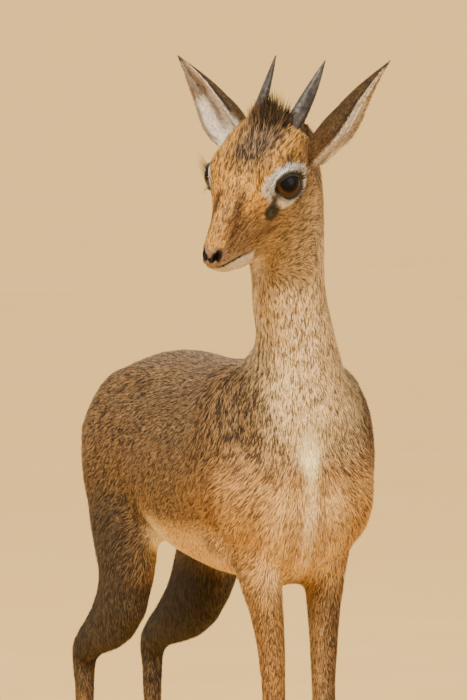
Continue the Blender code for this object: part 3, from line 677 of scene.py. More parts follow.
def body_shades(points, normals):
    """Grizzled back and neck, tawny shoulders and legs, white below, haunches dark partly as painted
    shade, and painted shade on the left legs and beside the blaze.
    """
    drawn = drawn_places(points)
    side, place, height = drawn.T
    patch = ripple(points, 0.06, 3)
    shades = Shades(len(points), (154, 120, 80), (50, 39, 29), 0.55)

    flank = smooth_step(0.335, 0.275, height + 0.006 * patch)
    shades.paint(0.65 * flank, (166, 126, 80), (64, 49, 34), 0.50)

    neck = smooth_step(-0.070, -0.105, place) * smooth_step(0.300, 0.345, height)
    low_neck = smooth_step(0.400, 0.370, height)
    neck *= 1.0 - smooth_step(0.022, 0.042, np.abs(side - 0.007)) * low_neck
    shades.paint(neck, (255, 224, 170), (126, 98, 68), 0.30)
    shades.paint(0.7 * neck * smooth_step(0.4, 0.95, normals[:, 1]),
                 (176, 140, 94), (70, 54, 38), 0.48)

    shoulder = bump_at(place, -0.100, 0.045) * bump_at(height, 0.268, 0.034)
    shoulder *= smooth_step(0.018, 0.040, np.abs(side))
    shades.paint(0.9 * shoulder, (184, 134, 72), (98, 70, 42), 0.40)

    low = smooth_step(0.272, 0.240, height + 0.004 * patch) * smooth_step(-0.10, -0.04, place)
    shades.paint(0.6 * low, (178, 138, 86), (92, 70, 44), 0.42)

    chest = smooth_step(-0.105, -0.128, place) * smooth_step(0.335, 0.290, height)
    shades.paint(0.75 * chest, (228, 176, 104), (128, 92, 54), 0.30)
    breast = chest * smooth_step(0.034, 0.012, np.abs(side + 0.001)) * smooth_step(0.310, 0.285, height)
    shades.paint(0.9 * breast, (250, 210, 144), (184, 140, 88), 0.20)
    blaze_width = 0.0026 + 0.0046 * smooth_step(0.295, 0.325, height)
    blaze = bump_at(side + 0.001, 0.0, blaze_width) * bump_at(height, 0.316, 0.016)
    blaze *= smooth_step(-0.11, -0.13, place)
    shades.paint(1.5 * blaze, (255, 240, 186), (252, 222, 162), 0.05)
    seam = bump_at(side + 0.001, 0.0, 0.004) * smooth_step(0.310, 0.290, height)
    shades.paint(0.8 * seam * smooth_step(-0.10, -0.12, place), (246, 220, 170), (206, 164, 106), 0.15)
    # Painted shade: dark lines in the creases on either side of the blaze.
    fold = bump_at(np.abs(side + 0.001), 0.0085, 0.004) * bump_at(height, 0.268, 0.028)
    shades.paint(0.45 * fold * smooth_step(-0.11, -0.13, place), (150, 106, 58), (84, 58, 34), 0.45)

    legs = smooth_step(0.248, 0.215, height)
    shades.paint(legs, (180, 132, 72), (92, 67, 40), 0.42)
    # Painted shade: the legs on the animal's left side darker and greyer, as they lie in shadow.
    shades.paint(0.75 * legs * smooth_step(0.0, 0.02, side), (138, 106, 70), (66, 51, 36), 0.48)
    # Dark haunches and hind legs: partly their own grey-brown hair, partly painted shade.
    haunch_and_shade = smooth_step(0.04, 0.10, place) * smooth_step(0.310, 0.250, height)
    haunch_and_shade = np.maximum(haunch_and_shade, smooth_step(-0.04, -0.01, place) * smooth_step(0.235, 0.215, height))
    haunch_and_shade *= smooth_step(0.090, 0.170, height)
    shades.paint(0.95 * haunch_and_shade, (96, 80, 62), (40, 34, 28), 0.60)

    under = smooth_step(-0.05, -0.60, normals[:, 2]) * smooth_step(0.222, 0.240, height)
    under *= smooth_step(0.275, 0.255, height)
    under *= 1.0 - 0.75 * smooth_step(-0.085, -0.115, place)
    under *= 1.0 - smooth_step(0.028, 0.042, np.abs(side)) * smooth_step(0.04, 0.07, place)
    shades.paint(under, (246, 206, 144), (190, 146, 94), 0.22)
    shades.paint(under * smooth_step(0.0, 0.07, place), (255, 238, 200), (230, 200, 152), 0.10)
    inner = smooth_step(0.15, 0.65, -normals[:, 0] * np.sign(side)) * smooth_step(0.26, 0.22, height)
    behind = smooth_step(-0.02, 0.06, place)
    shades.paint(0.5 * behind * inner * smooth_step(0.215, 0.245, height),
                 (214, 180, 130), (142, 110, 70), 0.30)
    shades.paint(0.45 * smooth_step(-0.03, -0.07, place) * inner * smooth_step(0.10, 0.16, height),
                 (200, 156, 98), (128, 94, 56), 0.30)
    rump = smooth_step(0.185, 0.205, place) * bump_at(side, 0.0, 0.020)
    rump *= smooth_step(0.225, 0.240, height)
    shades.paint(0.9 * rump * smooth_step(0.300, 0.270, height),
                 (244, 232, 212), (200, 178, 148), 0.15)

    lower_leg = smooth_step(0.150, 0.060, height)
    shades.paint(0.5 * lower_leg, (172, 128, 74), (88, 64, 40), 0.40)
    shades.paint(smooth_step(0.024, 0.018, height), (96, 74, 52), (50, 38, 28), 0.6)
    claws = smooth_step(0.0285, 0.031, height) * smooth_step(0.0455, 0.043, height)
    heel = smooth_step(0.3, 0.8, normals[:, 1])
    shades.paint(0.8 * claws * heel, (70, 56, 44), (36, 28, 22), 0.6)
    return shades


def head_shades(points, shades):
    """Orange forehead with dark streaks, pale eye rings, black gland with a painted highlight on its
    rim, nose and lid rims, and a dark band beside the bridge that is partly painted shade.
    """
    place = head_places(points)
    along, out, side = place.T
    wide = np.abs(side)
    weight = head_share(points)
    patch = ripple(points, 0.012, 11)
    streak = ripple(points * np.array([1.0, 1.0, 0.35]), 0.006, 12)

    shades.paint(weight, (184, 148, 98), (76, 60, 43), 0.46)
    crown = smooth_step(-0.4, 0.4, out) * smooth_step(2.6, 1.2, along)
    shades.paint(weight * crown, (220, 168, 88), (98, 69, 39), 0.40)
    middle = smooth_step(1.7, 0.7, np.abs(side - 0.45) + 0.15 * patch) * smooth_step(1.2, 0.0, along)
    shades.paint(0.95 * weight * crown * middle, (140, 115, 88), (46, 38, 32), 0.63)
    bridge = smooth_step(0.9, 2.0, along) * smooth_step(0.0, 0.6, out)
    shades.paint(weight * bridge, (234, 178, 92), (122, 84, 44), 0.30)
    stripe = smooth_step(0.55, 0.15, wide + 0.08 * patch) * smooth_step(1.2, 2.2, along)
    stripe *= smooth_step(6.2, 5.4, along) * smooth_step(0.2, 0.7, out)
    shades.paint(0.35 * weight * stripe, (160, 118, 68), (88, 62, 38), 0.50)
    # A darker band along each side of the bridge: partly the hair's own colour, partly painted shade on
    # the slope beside the bridge.
    edge = bump_at(wide + 0.25 * out, 0.98, 0.26) * smooth_step(1.6, 2.6, along)
    shades.paint(weight * edge * smooth_step(5.9, 5.0, along), (136, 94, 52), (66, 45, 29), 0.56)
    muzzle = smooth_step(2.4, 3.6, along) * smooth_step(0.35, -0.2, out)
    shades.paint(0.8 * weight * muzzle, (180, 144, 98), (82, 64, 46), 0.42)
    cheek = smooth_step(1.6, 0.6, along) * smooth_step(0.2, -0.6, out)
    shades.paint(0.5 * weight * cheek, (182, 150, 108), (84, 68, 50), 0.40)
    snout = bump_at(along, 1.9, 1.2) * bump_at(out, 0.1, 0.6) * smooth_step(0.9, 1.4, wide)
    shades.paint(0.75 * weight * snout, (224, 164, 76), (130, 88, 42), 0.28)
    jaw = smooth_step(-1.9, -3.0, out - 0.15 * along)
    shades.paint(0.75 * weight * jaw, (214, 178, 124), (116, 92, 62), 0.34)
    throat = smooth_step(0.9, 0.2, wide) * smooth_step(-1.5, -2.4, out) * smooth_step(-3.0, -1.5, along)
    shades.paint(0.9 * weight * throat, (250, 230, 204), (208, 180, 150), 0.12)

    gap, shown = mouth_gap(place)
    lower_lip = smooth_step(0.0, -0.15, gap) * smooth_step(3.9, 4.5, along)
    shades.paint(weight * lower_lip, (238, 228, 210), (200, 182, 156), 0.12)
    upper_lip = bump_at(gap, 0.24, 0.14) * shown
    shades.paint(0.5 * weight * upper_lip, (220, 190, 146), (150, 118, 82), 0.25)
    shades.paint(1.2 * weight * shown * bump_at(gap, 0.0, 0.10), (34, 26, 24), (20, 15, 14), 0.5)

    pad = nose_reach(place)
    front = smooth_step(5.75, 6.0, along)
    shades.paint(weight * front * smooth_step(1.9, 1.2, pad), (176, 142, 122), (110, 84, 72), 0.3)
    shades.paint(1.1 * weight * front * smooth_step(1.18, 0.92, pad), (30, 25, 25), (14, 12, 12), 0.5)

    for sign in (-1.0, 1.0):
        eye = eye_places(points, sign)
        forward, up, look = eye.T
        near = smooth_step(-16.0, -9.0, look) * smooth_step(0.2, 0.8, sign * side)
        ring = np.sqrt(((forward + 1.2) / 20.0) ** 2 + ((up + 1.6) / 13.4) ** 2) + 0.06 * patch
        shades.paint(near * smooth_step(1.06, 0.90, ring), (246, 243, 240), (104, 96, 92), 0.20)
        grey = bump_at(forward, 12.0, 3.5) * bump_at(up, -4.0, 5.0)
        shades.paint(0.6 * near * grey, (176, 168, 160), (80, 75, 72), 0.5)
        shades.paint(near * smooth_step(2.9, 1.9, opening_distance(eye)),
                     (48, 44, 45), (28, 25, 26), 0.5)
        back_corner = bump_at(forward, -11.5, 2.6) * bump_at(up, 3.0, 2.2)
        shades.paint(0.9 * near * back_corner, (60, 48, 42), (36, 28, 26), 0.5)
        brow = bump_at(forward, -5.0, 6.0) * bump_at(up, 13.2, 2.4)
        shades.paint(0.8 * near * brow, (100, 78, 58), (52, 41, 34), 0.60)

        line = gland_line(place, sign) + 0.03 * patch
        shades.paint(0.9 * weight * smooth_step(0.36, 0.14, line), (52, 48, 48), (24, 22, 22), 0.60)
        reach = gland_reach(place, sign) + 0.03 * patch
        shades.paint(0.85 * weight * smooth_step(0.80, 0.46, reach), (72, 64, 58), (34, 30, 29), 0.55)
        shades.paint(weight * smooth_step(0.52, 0.38, reach), (30, 31, 31), (18, 19, 19), 0.5)
        # Painted highlight: a grey-green ring of wet shine on the front of the gland's rim.
        gland_rim_highlight = bump_at(reach, 0.24, 0.09) * smooth_step(-0.05, 0.10, along - GLAND_PLACE[0])
        shades.paint(0.8 * weight * gland_rim_highlight, (84, 92, 84), (50, 56, 52), 0.4)
        shades.paint(weight * smooth_step(0.20, 0.12, reach), (10, 10, 10), (6, 6, 6), 0.5)

    tuft = smooth_step(-1.5, -2.6, along) * crest_share(points)
    shades.paint(0.6 * weight * tuft, (128, 98, 66), (46, 37, 31), 0.60)
    shades.paint(weight * tuft * smooth_step(0.0, 0.6, side), (66, 52, 42), (26, 22, 21), 0.72)
    return shades, streak


def nose_reach(place):
    """Below 1 on the bare nose: two round nostrils and a damp strip between them."""
    _, out, side = place.T
    _, nostril_out, nostril_side = NOSTRIL_PLACE
    wide = np.abs(side)
    nostril = np.hypot((wide - nostril_side) / 0.29, (out - nostril_out) / 0.27)
    patch = np.hypot(side / 0.40, (out - nostril_out + 0.14) / 0.15)
    return np.minimum(nostril, patch)


def gland_reach(place, sign):
    """Distance in cm across the face from the middle of the gland."""
    offset = place - np.array(mirror_side(GLAND_PLACE, sign))
    return np.sqrt(offset[:, 0] ** 2 + offset[:, 1] ** 2 + (0.6 * offset[:, 2]) ** 2)


def wet_places(points):
    """1 on the bare nose and in the cup of each gland, 0 elsewhere."""
    place = head_places(points)
    wet = smooth_step(1.10, 0.95, nose_reach(place)) * smooth_step(5.90, 6.05, place[:, 0])
    for sign in (-1.0, 1.0):
        wet = np.maximum(wet, smooth_step(0.40, 0.32, gland_reach(place, sign)))
    return wet * head_share(points)


def gland_line(place, sign):
    """Distance in cm from the dark line between the gland and the eye's front corner."""
    look, corner, _ = eye_axes(sign)
    corner_point = (on_head(*mirror_side(EYE_PLACE, sign)) + look * 9.0 * MM
                    + corner * (LID_HALF_WIDTH + 1.0 * MM))
    start = head_places(np.array([corner_point]))[0]
    end = np.array(mirror_side(GLAND_PLACE, sign))
    line = end - start
    share = np.clip((place - start) @ line / (line @ line), 0.0, 1.0)
    return np.linalg.norm(place - start - share[:, None] * line, axis=1)


def ear_shades(points, ear):
    """Grey-brown backs, whitish insides with dark streaks, a pale turned rim and painted shade in the
    curled tip.
    """
    along, side, inside = ear.T
    count, across = len(points), np.abs(side)
    on_left = (points - np.array(EYES_MIDDLE)) @ np.array(LEFT) > 0.0
    turned = np.where(on_left, -side, side)
    shades = Shades(count, (112, 87, 57), (52, 40, 29), 0.48)
    shades.paint(0.4 * smooth_step(0.35, 0.0, along), (160, 118, 68), (90, 64, 38), 0.35)
    near_base = smooth_step(0.42, 0.20, along) * smooth_step(0.10, 0.45, turned)
    rim = smooth_step(0.80, 0.97, across)
    shades.paint(0.8 * rim * (1.0 - inside), (64, 50, 37), (36, 29, 24), 0.55)
    shades.paint(0.9 * rim * smooth_step(0.30, 0.10, along), (250, 242, 232), (210, 196, 180), 0.10)
    pale_edge = np.where(on_left, 0.82, 0.93)
    line = bump_at(turned, pale_edge - 0.03, 0.045) * (1.0 - inside)
    shades.paint(0.85 * line * smooth_step(0.2, 0.35, along), (60, 46, 35), (34, 27, 23), 0.55)
    pale_rim = smooth_step(0.0, 0.05, turned - pale_edge) * (1.0 - inside)
    shades.paint(0.9 * pale_rim, (236, 220, 202), (150, 128, 108), 0.30)
    shades.paint(inside, (255, 244, 230), (176, 156, 140), 0.20)
    shades.paint(inside * smooth_step(0.34, 0.16, along), (255, 250, 242), (226, 212, 198), 0.08)
    fold = bump_at(across, 0.42 + 0.08 * np.sin(9.0 * along), 0.11)
    shades.paint(np.where(on_left, 0.5, 0.8) * inside * fold * smooth_step(0.2, 0.45, along),
                 (140, 118, 104), (64, 50, 46), 0.5)
    # Painted shade inside the curled tip of the ear.
    curled_tip_shade = smooth_step(0.56, 0.66, along) * smooth_step(0.97, 0.88, along)
    shades.paint(np.where(on_left, 0.4, 0.8) * inside * curled_tip_shade * smooth_step(0.1, -0.3, turned),
                 (140, 114, 90), (78, 60, 50), 0.5)
    shades.paint(0.8 * inside * near_base, (134, 104, 68), (64, 49, 35), 0.42)
    far_rim = smooth_step(-0.84, -0.96, turned) * smooth_step(0.12, 0.25, along)
    shades.paint(np.where(on_left, 0.35, 0.8) * inside * far_rim, (140, 106, 72), (70, 54, 40), 0.45)
    tip = smooth_step(0.88, 0.97, along)
    shades.paint(0.8 * tip, (92, 76, 64), (52, 42, 36), 0.6)
    return shades


def shades_at(points, normals, ear_weight, ear):
    """Light and dark colours and dark share anywhere on skin or ears."""
    shades = body_shades(points, normals)
    shades, streak = head_shades(points, shades)
    on_ear = ear_shades(points, ear)
    shades.light += ear_weight[:, None] * (on_ear.light - shades.light)
    shades.dark += ear_weight[:, None] * (on_ear.dark - shades.dark)
    shades.share += ear_weight * (on_ear.share - shades.share)
    shades.share = np.clip(shades.share + 0.10 * streak, 0.03, 0.95)
    return shades


# An unwrap of the skin: flat charts by part of the body and by the side that each face looks to

class Unwrap:
    """Places of the skin's faces on flat charts packed into one square."""

    def __init__(self, centres, normals, parts):
        sides = np.argmax(np.abs(normals), axis=1)
        facing = normals[np.arange(len(normals)), sides] > 0.0
        self.chart = parts * 6 + sides * 2 + facing
        self.boxes = {}
        for chart in np.unique(self.chart):
            flat = self.flatten(centres[self.chart == chart], chart)
            self.boxes[int(chart)] = (flat.min(0) - 0.003, flat.max(0) + 0.003)
        self.pack()

    @staticmethod
    def flatten(points, chart):
        """The two coordinates that the chart's side keeps."""
        axes = ((1, 2), (0, 2), (0, 1))[(int(chart) % 6) // 2]
        return points[:, axes]

    def pack(self):
        """Stands the charts in rows, tallest first, and fits the rows into the unit square."""
        sizes = {chart: high - low for chart, (low, high) in self.boxes.items()}
        total = sum(size[0] * size[1] for size in sizes.values())
        row_width = math.sqrt(total) * 1.16
        self.spots, x, y, row_height, widest = {}, 0.0, 0.0, 0.0, 0.0
        for chart in sorted(sizes, key=lambda chart: (-sizes[chart][1], chart)):
            width, height = sizes[chart]
            if x + width > row_width and x > 0.0:
                x, y, row_height = 0.0, y + row_height, 0.0
            self.spots[chart] = np.array([x, y])
            x += width
            row_height = max(row_height, height)
            widest = max(widest, x)
        self.scale = 1.0 / max(widest, y + row_height)

    def place(self, points, charts):
        """Unit-square coordinates of points on their charts."""
        flat = np.zeros((len(points), 2))
        for chart in np.unique(charts):
            chosen = charts == chart
            low, _ = self.boxes[int(chart)]
            flat[chosen] = self.flatten(points[chosen], chart) - low + self.spots[int(chart)]
        return np.clip(flat * self.scale, 0.0, 1.0)


def nearest_parts(centres):
    """For each place the number of the flesh node that it lies nearest to."""
    points, faces, owners = [], [], []
    for number, name in enumerate(FLESH):
        node_points, _, node_faces = node_triangles(name)
        faces += [[index + len(points) for index in face] for face in node_faces]
        points += [tuple(point) for point in node_points]
        owners += [number] * len(node_faces)
    tree = BVHTree.FromPolygons(points, faces, all_triangles=True)
    return np.array([owners[tree.find_nearest(Vector(centre))[2]] for centre in centres])


# Joining skin and ears, and giving them their tint

def add_tint(mesh, colours):
    layer = mesh.color_attributes.new("tint", "FLOAT_COLOR", "POINT")
    layer.data.foreach_set("color", np.concatenate(
        [colours, np.ones((len(colours), 1))], 1).ravel().astype(np.float32))


def finish_skin(thing, ears):
    """Adds the ear shells to the skin and returns what the coat needs to know of its faces."""
    form = bmesh.new()
    form.from_mesh(thing.data)
    body_count = len(form.verts)
    body_faces = len(form.faces)
    ear_values, part_values = [], []
    for number, (mesh, values) in enumerate(ears):
        before = len(form.faces)
        form.from_mesh(mesh)
        ear_values.append(values)
        part_values += [len(FLESH) + number] * (len(form.faces) - before)
    form.to_mesh(thing.data)
    form.free()
    mesh = thing.data
    shade_smooth(mesh)

    points, normals = places_of(mesh), normals_of(mesh)
    ear = np.zeros((len(points), 3))
    ear[body_count:] = np.concatenate(ear_values)[:len(points) - body_count]
    ear_weight = np.zeros(len(points))
    ear_weight[body_count:] = 1.0

    centres = np.zeros(len(mesh.polygons) * 3)
    mesh.polygons.foreach_get("center", centres)
    centres = centres.reshape(-1, 3)
    face_normals = np.zeros(len(mesh.polygons) * 3)
    mesh.polygons.foreach_get("normal", face_normals)
    face_normals = face_normals.reshape(-1, 3)
    parts = np.concatenate([nearest_parts(centres[:body_faces]), np.array(part_values)]).astype(int)
    unwrap = Unwrap(centres, face_normals, parts)

    loops = np.zeros(len(mesh.loops), int)
    mesh.loops.foreach_get("vertex_index", loops)
    lengths = np.zeros(len(mesh.polygons), int)
    mesh.polygons.foreach_get("loop_total", lengths)
    layer = mesh.uv_layers.new(name="OFBake")
    spots = unwrap.place(points[loops], np.repeat(unwrap.chart, lengths))
    layer.data.foreach_set("uv", spots.ravel())

    shades = shades_at(points, normals, ear_weight, ear)
    share = shades.share[:, None]
    # The skin's tint: the coat's colours darkened, partly as undercoat and partly as painted shade
    # between the blades
    add_tint(mesh, (shades.light * (1.0 - share) + shades.dark * share) * UNDERCOAT_AND_GAP_SHADE)
    layer = mesh.attributes.new("wet", "FLOAT", "POINT")
    layer.data.foreach_set("value", wet_places(points).astype(np.float32))
    return unwrap, ear, ear_weight


# The coat

# Rows: across, across, and along the trunk's hair, which is squeezed so that noise runs along it
TRUNK_GRAIN = np.array([(1.0, 0.0, 0.0), (0.0, 0.5, 0.86), (0.0, 0.13, -0.075)])


def corner_triangles(mesh):
    """Triangles of a mesh: their vertices and the face that each belongs to."""
    mesh.calc_loop_triangles()
    corners = np.zeros(len(mesh.loop_triangles) * 3, int)
    mesh.loop_triangles.foreach_get("vertices", corners)
    owners = np.zeros(len(mesh.loop_triangles), int)
    mesh.loop_triangles.foreach_get("polygon_index", owners)
    return corners.reshape(-1, 3), owners


def scatter(points, triangles, weights, count, seed):
    """Even, seeded places on triangles, more of them where the weight is greater."""
    draw = np.random.default_rng(seed)
    a, b, c = (points[triangles[:, corner]] for corner in range(3))
    area = np.linalg.norm(np.cross(b - a, c - a), axis=1) / 2.0
    total = np.cumsum(area * weights)
    marks = (np.arange(count) + draw.uniform(0.0, 1.0, count)) / count * total[-1]
    chosen = np.minimum(np.searchsorted(total, marks), len(triangles) - 1)
    u, v = draw.uniform(size=count), draw.uniform(size=count)
    flip = u + v > 1.0
    u[flip], v[flip] = 1.0 - u[flip], 1.0 - v[flip]
    return chosen, np.stack([1.0 - u - v, u, v], 1)


def hair_flow(points, normals):
    """The direction in which the coat lies: nose to nape, down the neck, back and down."""
    drawn, place = drawn_places(points), head_places(points)
    height = drawn[:, 2]
    backward = smooth_step(0.20, 0.26, height)
    flow = np.stack([np.zeros(len(points)), 0.12 + 0.80 * backward,
                     -1.0 + 0.42 * backward], 1)
    nape = smooth_step(-0.075, -0.11, drawn[:, 1]) * smooth_step(0.29, 0.34, height)
    flow += nape[:, None] * (np.array([0.10, 0.05, -1.0]) - flow)

    along, out, side = place.T
    back_of_head = smooth_step(-2.6, -4.4, along + 0.5 * out)
    to_nape = unit(np.stack([-np.ones(len(points)), -0.25 * smooth_step(0.5, -2.0, out),
                             0.12 * side], 1))
    to_nape = to_nape @ np.array([NOSE, BROW, LEFT])
    to_nape += back_of_head[:, None] * (np.array([0.0, 0.2, -1.0]) - to_nape)
    weight = head_share(points)[:, None]
    flow = unit(flow) * (1.0 - weight) + to_nape * weight

    for sign in (-1.0, 1.0):
        centre = np.array(on_head(*mirror_side(EYE_PLACE, sign)))
        away = points - centre
        near = bump_at(np.linalg.norm(away, axis=1), 0.013, 0.008)[:, None]
        flow = flow + near * 1.4 * unit(away)
    return tangent(flow, normals)


def tangent(vectors, normals):
    return unit(vectors - normals * np.sum(vectors * normals, axis=1, keepdims=True))


def crest_share(points):
    """1 where the long crown hair stands up between the horns, 0 away from it."""
    along, out, side = head_places(points).T
    share = smooth_step(-1.0, -2.7, along) * smooth_step(-5.0, -4.3, along)
    return share * smooth_step(1.25, 0.75, np.abs(side - CREST_SIDE)) * smooth_step(0.4, 1.0, out)


def hair_measures(points, ear_weight, ear):
    """Length and width in metres, lift in radians and the share of lift left past the bend."""
    drawn, place = drawn_places(points), head_places(points)
    along, out, _ = place.T
    on_head_part = head_share(points)
    length = np.full(len(points), 7.2)
    width = np.full(len(points), 0.44)
    lift = np.full(len(points), 13.0)
    legs = smooth_step(0.245, 0.19, drawn[:, 2])
    length += legs * (4.8 - length)
    width += legs * (0.40 - width)
    length += smooth_step(0.11, 0.03, drawn[:, 2]) * -1.2
    neck = smooth_step(-0.08, -0.11, drawn[:, 1]) * smooth_step(0.30, 0.35, drawn[:, 2])
    length += neck * (6.2 - length)
    width += neck * (0.38 - width)

    face = np.interp(along, [-5.0, 0.5, 3.0, 5.0, 6.6], [7.0, 5.0, 3.8, 2.8, 1.5])
    face_width = np.interp(along, [-4.0, 1.0, 4.0, 6.6], [0.42, 0.38, 0.32, 0.24])
    length += on_head_part * (face - length)
    width += on_head_part * (face_width - width)
    brow = on_head_part * smooth_step(0.2, 0.9, out) * smooth_step(1.6, -0.4, along)
    length += brow * 2.6
    lift += brow * 8.0
    for sign in (-1.0, 1.0):
        distance = np.linalg.norm(points - np.array(on_head(*mirror_side(EYE_PLACE, sign))), axis=1)
        close = smooth_step(0.022, 0.014, distance)
        length += close * (1.9 - length)
        width += close * (0.26 - width)
    for sign in (-1.0, 1.0):
        gland = gland_reach(place, sign)
        length += on_head_part * smooth_step(0.9, 0.6, gland) * (1.8 - length)
        foot = smooth_step(0.95, 0.70, horn_distance(place, sign))
        foot *= smooth_step(0.5, 0.9, sign * place[:, 2])
        length += on_head_part * foot * (2.0 - length)
        lift += on_head_part * foot * (6.0 - lift)
    crest = on_head_part * crest_share(points) * (1.0 - ear_weight)
    length += crest * (5.5 + 8.5 * smooth_step(-0.4, 0.8, place[:, 2]))
    bend = 0.25 + 0.65 * crest

    length += ear_weight * (3.0 - 1.4 * smooth_step(0.6, 1.0, ear[:, 0]) - length)
    width += ear_weight * (0.28 - width)
    inside = ear_weight * ear[:, 2]
    length += inside * (0.4 + 5.5 * smooth_step(0.40, 0.05, ear[:, 0]))
    lift += inside * (4.0 + 14.0 * smooth_step(0.40, 0.05, ear[:, 0]))
    return length * MM, width * MM, np.radians(lift), bend


def horn_distance(place, sign):
    """Distance in cm from the middle line of a horn, for head coordinates in cm."""
    start, end = (np.array(mirror_side(point, sign)) for point in (HORN_ROOT, HORN_TIP))
    line = end - start
    share = np.clip((place - start) @ line / (line @ line), 0.0, 1.0)
    return np.linalg.norm(place - start - share[:, None] * line, axis=1)


def coat_density(points, ear_weight, ear):
    """Blades wanted per area at each place, relative to each other; none on bare skin."""
    length, width, _, _ = hair_measures(points, ear_weight, ear)
    density = 1.0 / (length ** 0.8 * width) * (1.0 + 5.0 * crest_share(points) * head_share(points))
    place = head_places(points)
    on_the_head = head_share(points) > 0.5
    bare = np.zeros(len(points), bool)
    for sign in (-1.0, 1.0):
        eye = eye_places(points, sign)
        near = (eye[:, 2] > 0.0) & (np.linalg.norm(eye, axis=1) < 19.0)
        bare |= near & (opening_distance(eye) < 2.0)
        bare |= gland_reach(place, sign) < 0.42
    gap, shown = mouth_gap(place)
    bare |= on_the_head & (shown > 0.5) & (np.abs(gap) < 0.09)
    bare |= (place[:, 0] > 5.95) & (nose_reach(place) < 1.05)
    bare |= drawn_places(points)[:, 2] < 0.0168
    density[bare] = 0.0
    return density


def grow_coat(thing, known, count, material):
    """Grows the blades of the coat over the skin, in pieces of a fixed number."""
    unwrap, ear, ear_weight = known
    mesh = thing.data
    points, normals = places_of(mesh), normals_of(mesh)
    triangles, owners = corner_triangles(mesh)
    middle = points[triangles].mean(1)
    weights = coat_density(middle, ear_weight[triangles].mean(1), ear[triangles].mean(1))
    chosen, shares = scatter(points, triangles, weights, count, 21)
    corners = triangles[chosen]

    def spread(values):
        return np.einsum("nk,nk...->n...", shares, values[corners])

    roots, up = spread(points), unit(spread(normals))
    root_ear, root_weight = spread(ear), spread(ear_weight)
    spots = unwrap.place(roots, unwrap.chart[owners[chosen]])

    draw = np.random.default_rng(22)
    length, width, lift, bend = hair_measures(roots, root_weight, root_ear)
    length = length * draw.uniform(0.65, 1.2, count)
    width = width * draw.uniform(0.75, 1.25, count)
    lift = lift * draw.uniform(0.45, 1.6, count)
    flow = coat_flow(roots, up, root_weight)
    swirl = 0.16 * ripple(roots, 0.02, 5) * (1.0 - root_weight) + draw.normal(0.0, 0.14, count)
    side = np.cross(up, flow)
    flow = unit(flow * np.cos(swirl)[:, None] + side * np.sin(swirl)[:, None])
    rise = (crest_share(roots) * (1.0 - root_weight))[:, None]
    lean = np.array(head_direction(-0.62, 0.78, 0.0)) + draw.normal(0.0, 0.16, (count, 3))
    flow = unit(flow * (1.0 - rise) + lean * rise)
    lift = lift * (1.0 - 0.8 * rise[:, 0])
    side = unit(np.cross(up, flow))

    shades = shades_at(roots, up, root_weight, root_ear)
    strand = strands(roots) * (1.0 - 0.7 * root_weight)
    dark = draw.uniform(size=count) < shades.share + STREAK * strand
    tone = np.where(dark[:, None], shades.dark, shades.light)
    other = np.where(dark[:, None], shades.light, shades.dark)
    tone = tone * (draw.uniform(0.76, 1.20, count) * (1.0 - 0.14 * strand))[:, None]
    root_tone = (0.55 * tone + 0.45 * shades.dark) * 0.75
    tip_tone = np.where(draw.uniform(size=count)[:, None] < 0.30, 0.6 * tone + 0.4 * other, tone)

    order = np.argsort(spots[:, 1] + 0.001 * spots[:, 0], kind="stable")
    pieces = -(-count // BLADES_PER_PIECE)
    for number, members in enumerate(np.array_split(order, pieces)):
        chosen_values = [values[members] for values in (
            roots, up, flow, side, length, width, lift, bend, root_tone, tone, tip_tone, spots)]
        piece = blades("coat_%02d" % (number + 1), *chosen_values, material)
        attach(piece, "root")


def strands(points):
    """Noise drawn out along the lie of the coat, on the head, the trunk, and neck and legs."""
    drawn = drawn_places(points)
    face = ripple(head_places(points) * CM * np.array([0.16, 0.8, 1.0]), 0.0016, 13, 18)
    down = ripple(drawn * np.array([1.0, 1.0, 0.18]), 0.0017, 14, 18)
    back = ripple(drawn @ TRUNK_GRAIN.T, 0.0011, 15, 18)
    trunk = smooth_step(-0.10, -0.07, drawn[:, 1]) * smooth_step(0.20, 0.25, drawn[:, 2])
    value = down + trunk * (back - down)
    value += head_share(points) * (face - value)
    cheek = head_share(points) * smooth_step(0.4, -0.5, head_places(points)[:, 1])
    low = smooth_step(0.300, 0.240, drawn[:, 2]) * (1.0 - trunk)
    return value * (1.0 - 0.68 * trunk - 0.40 * low - 0.45 * cheek)


def coat_flow(points, normals, ear_weight):
    """The coat's flow with the ears' own, from root to tip."""
    flow = hair_flow(points, normals)
    side = (points - np.array(EYES_MIDDLE)) @ np.array(LEFT) > 0.0
    axes = []
    for name in ("ear_right", "ear_left"):
        root, tip, _ = EARS[name]
        axes.append(np.array((above_skull(*tip) - on_head(*root)).normalized()))
    toward_tip = np.where(side[:, None], axes[1], axes[0])
    on_ear = tangent(toward_tip, normals)
    return unit(flow + ear_weight[:, None] * (on_ear - flow))


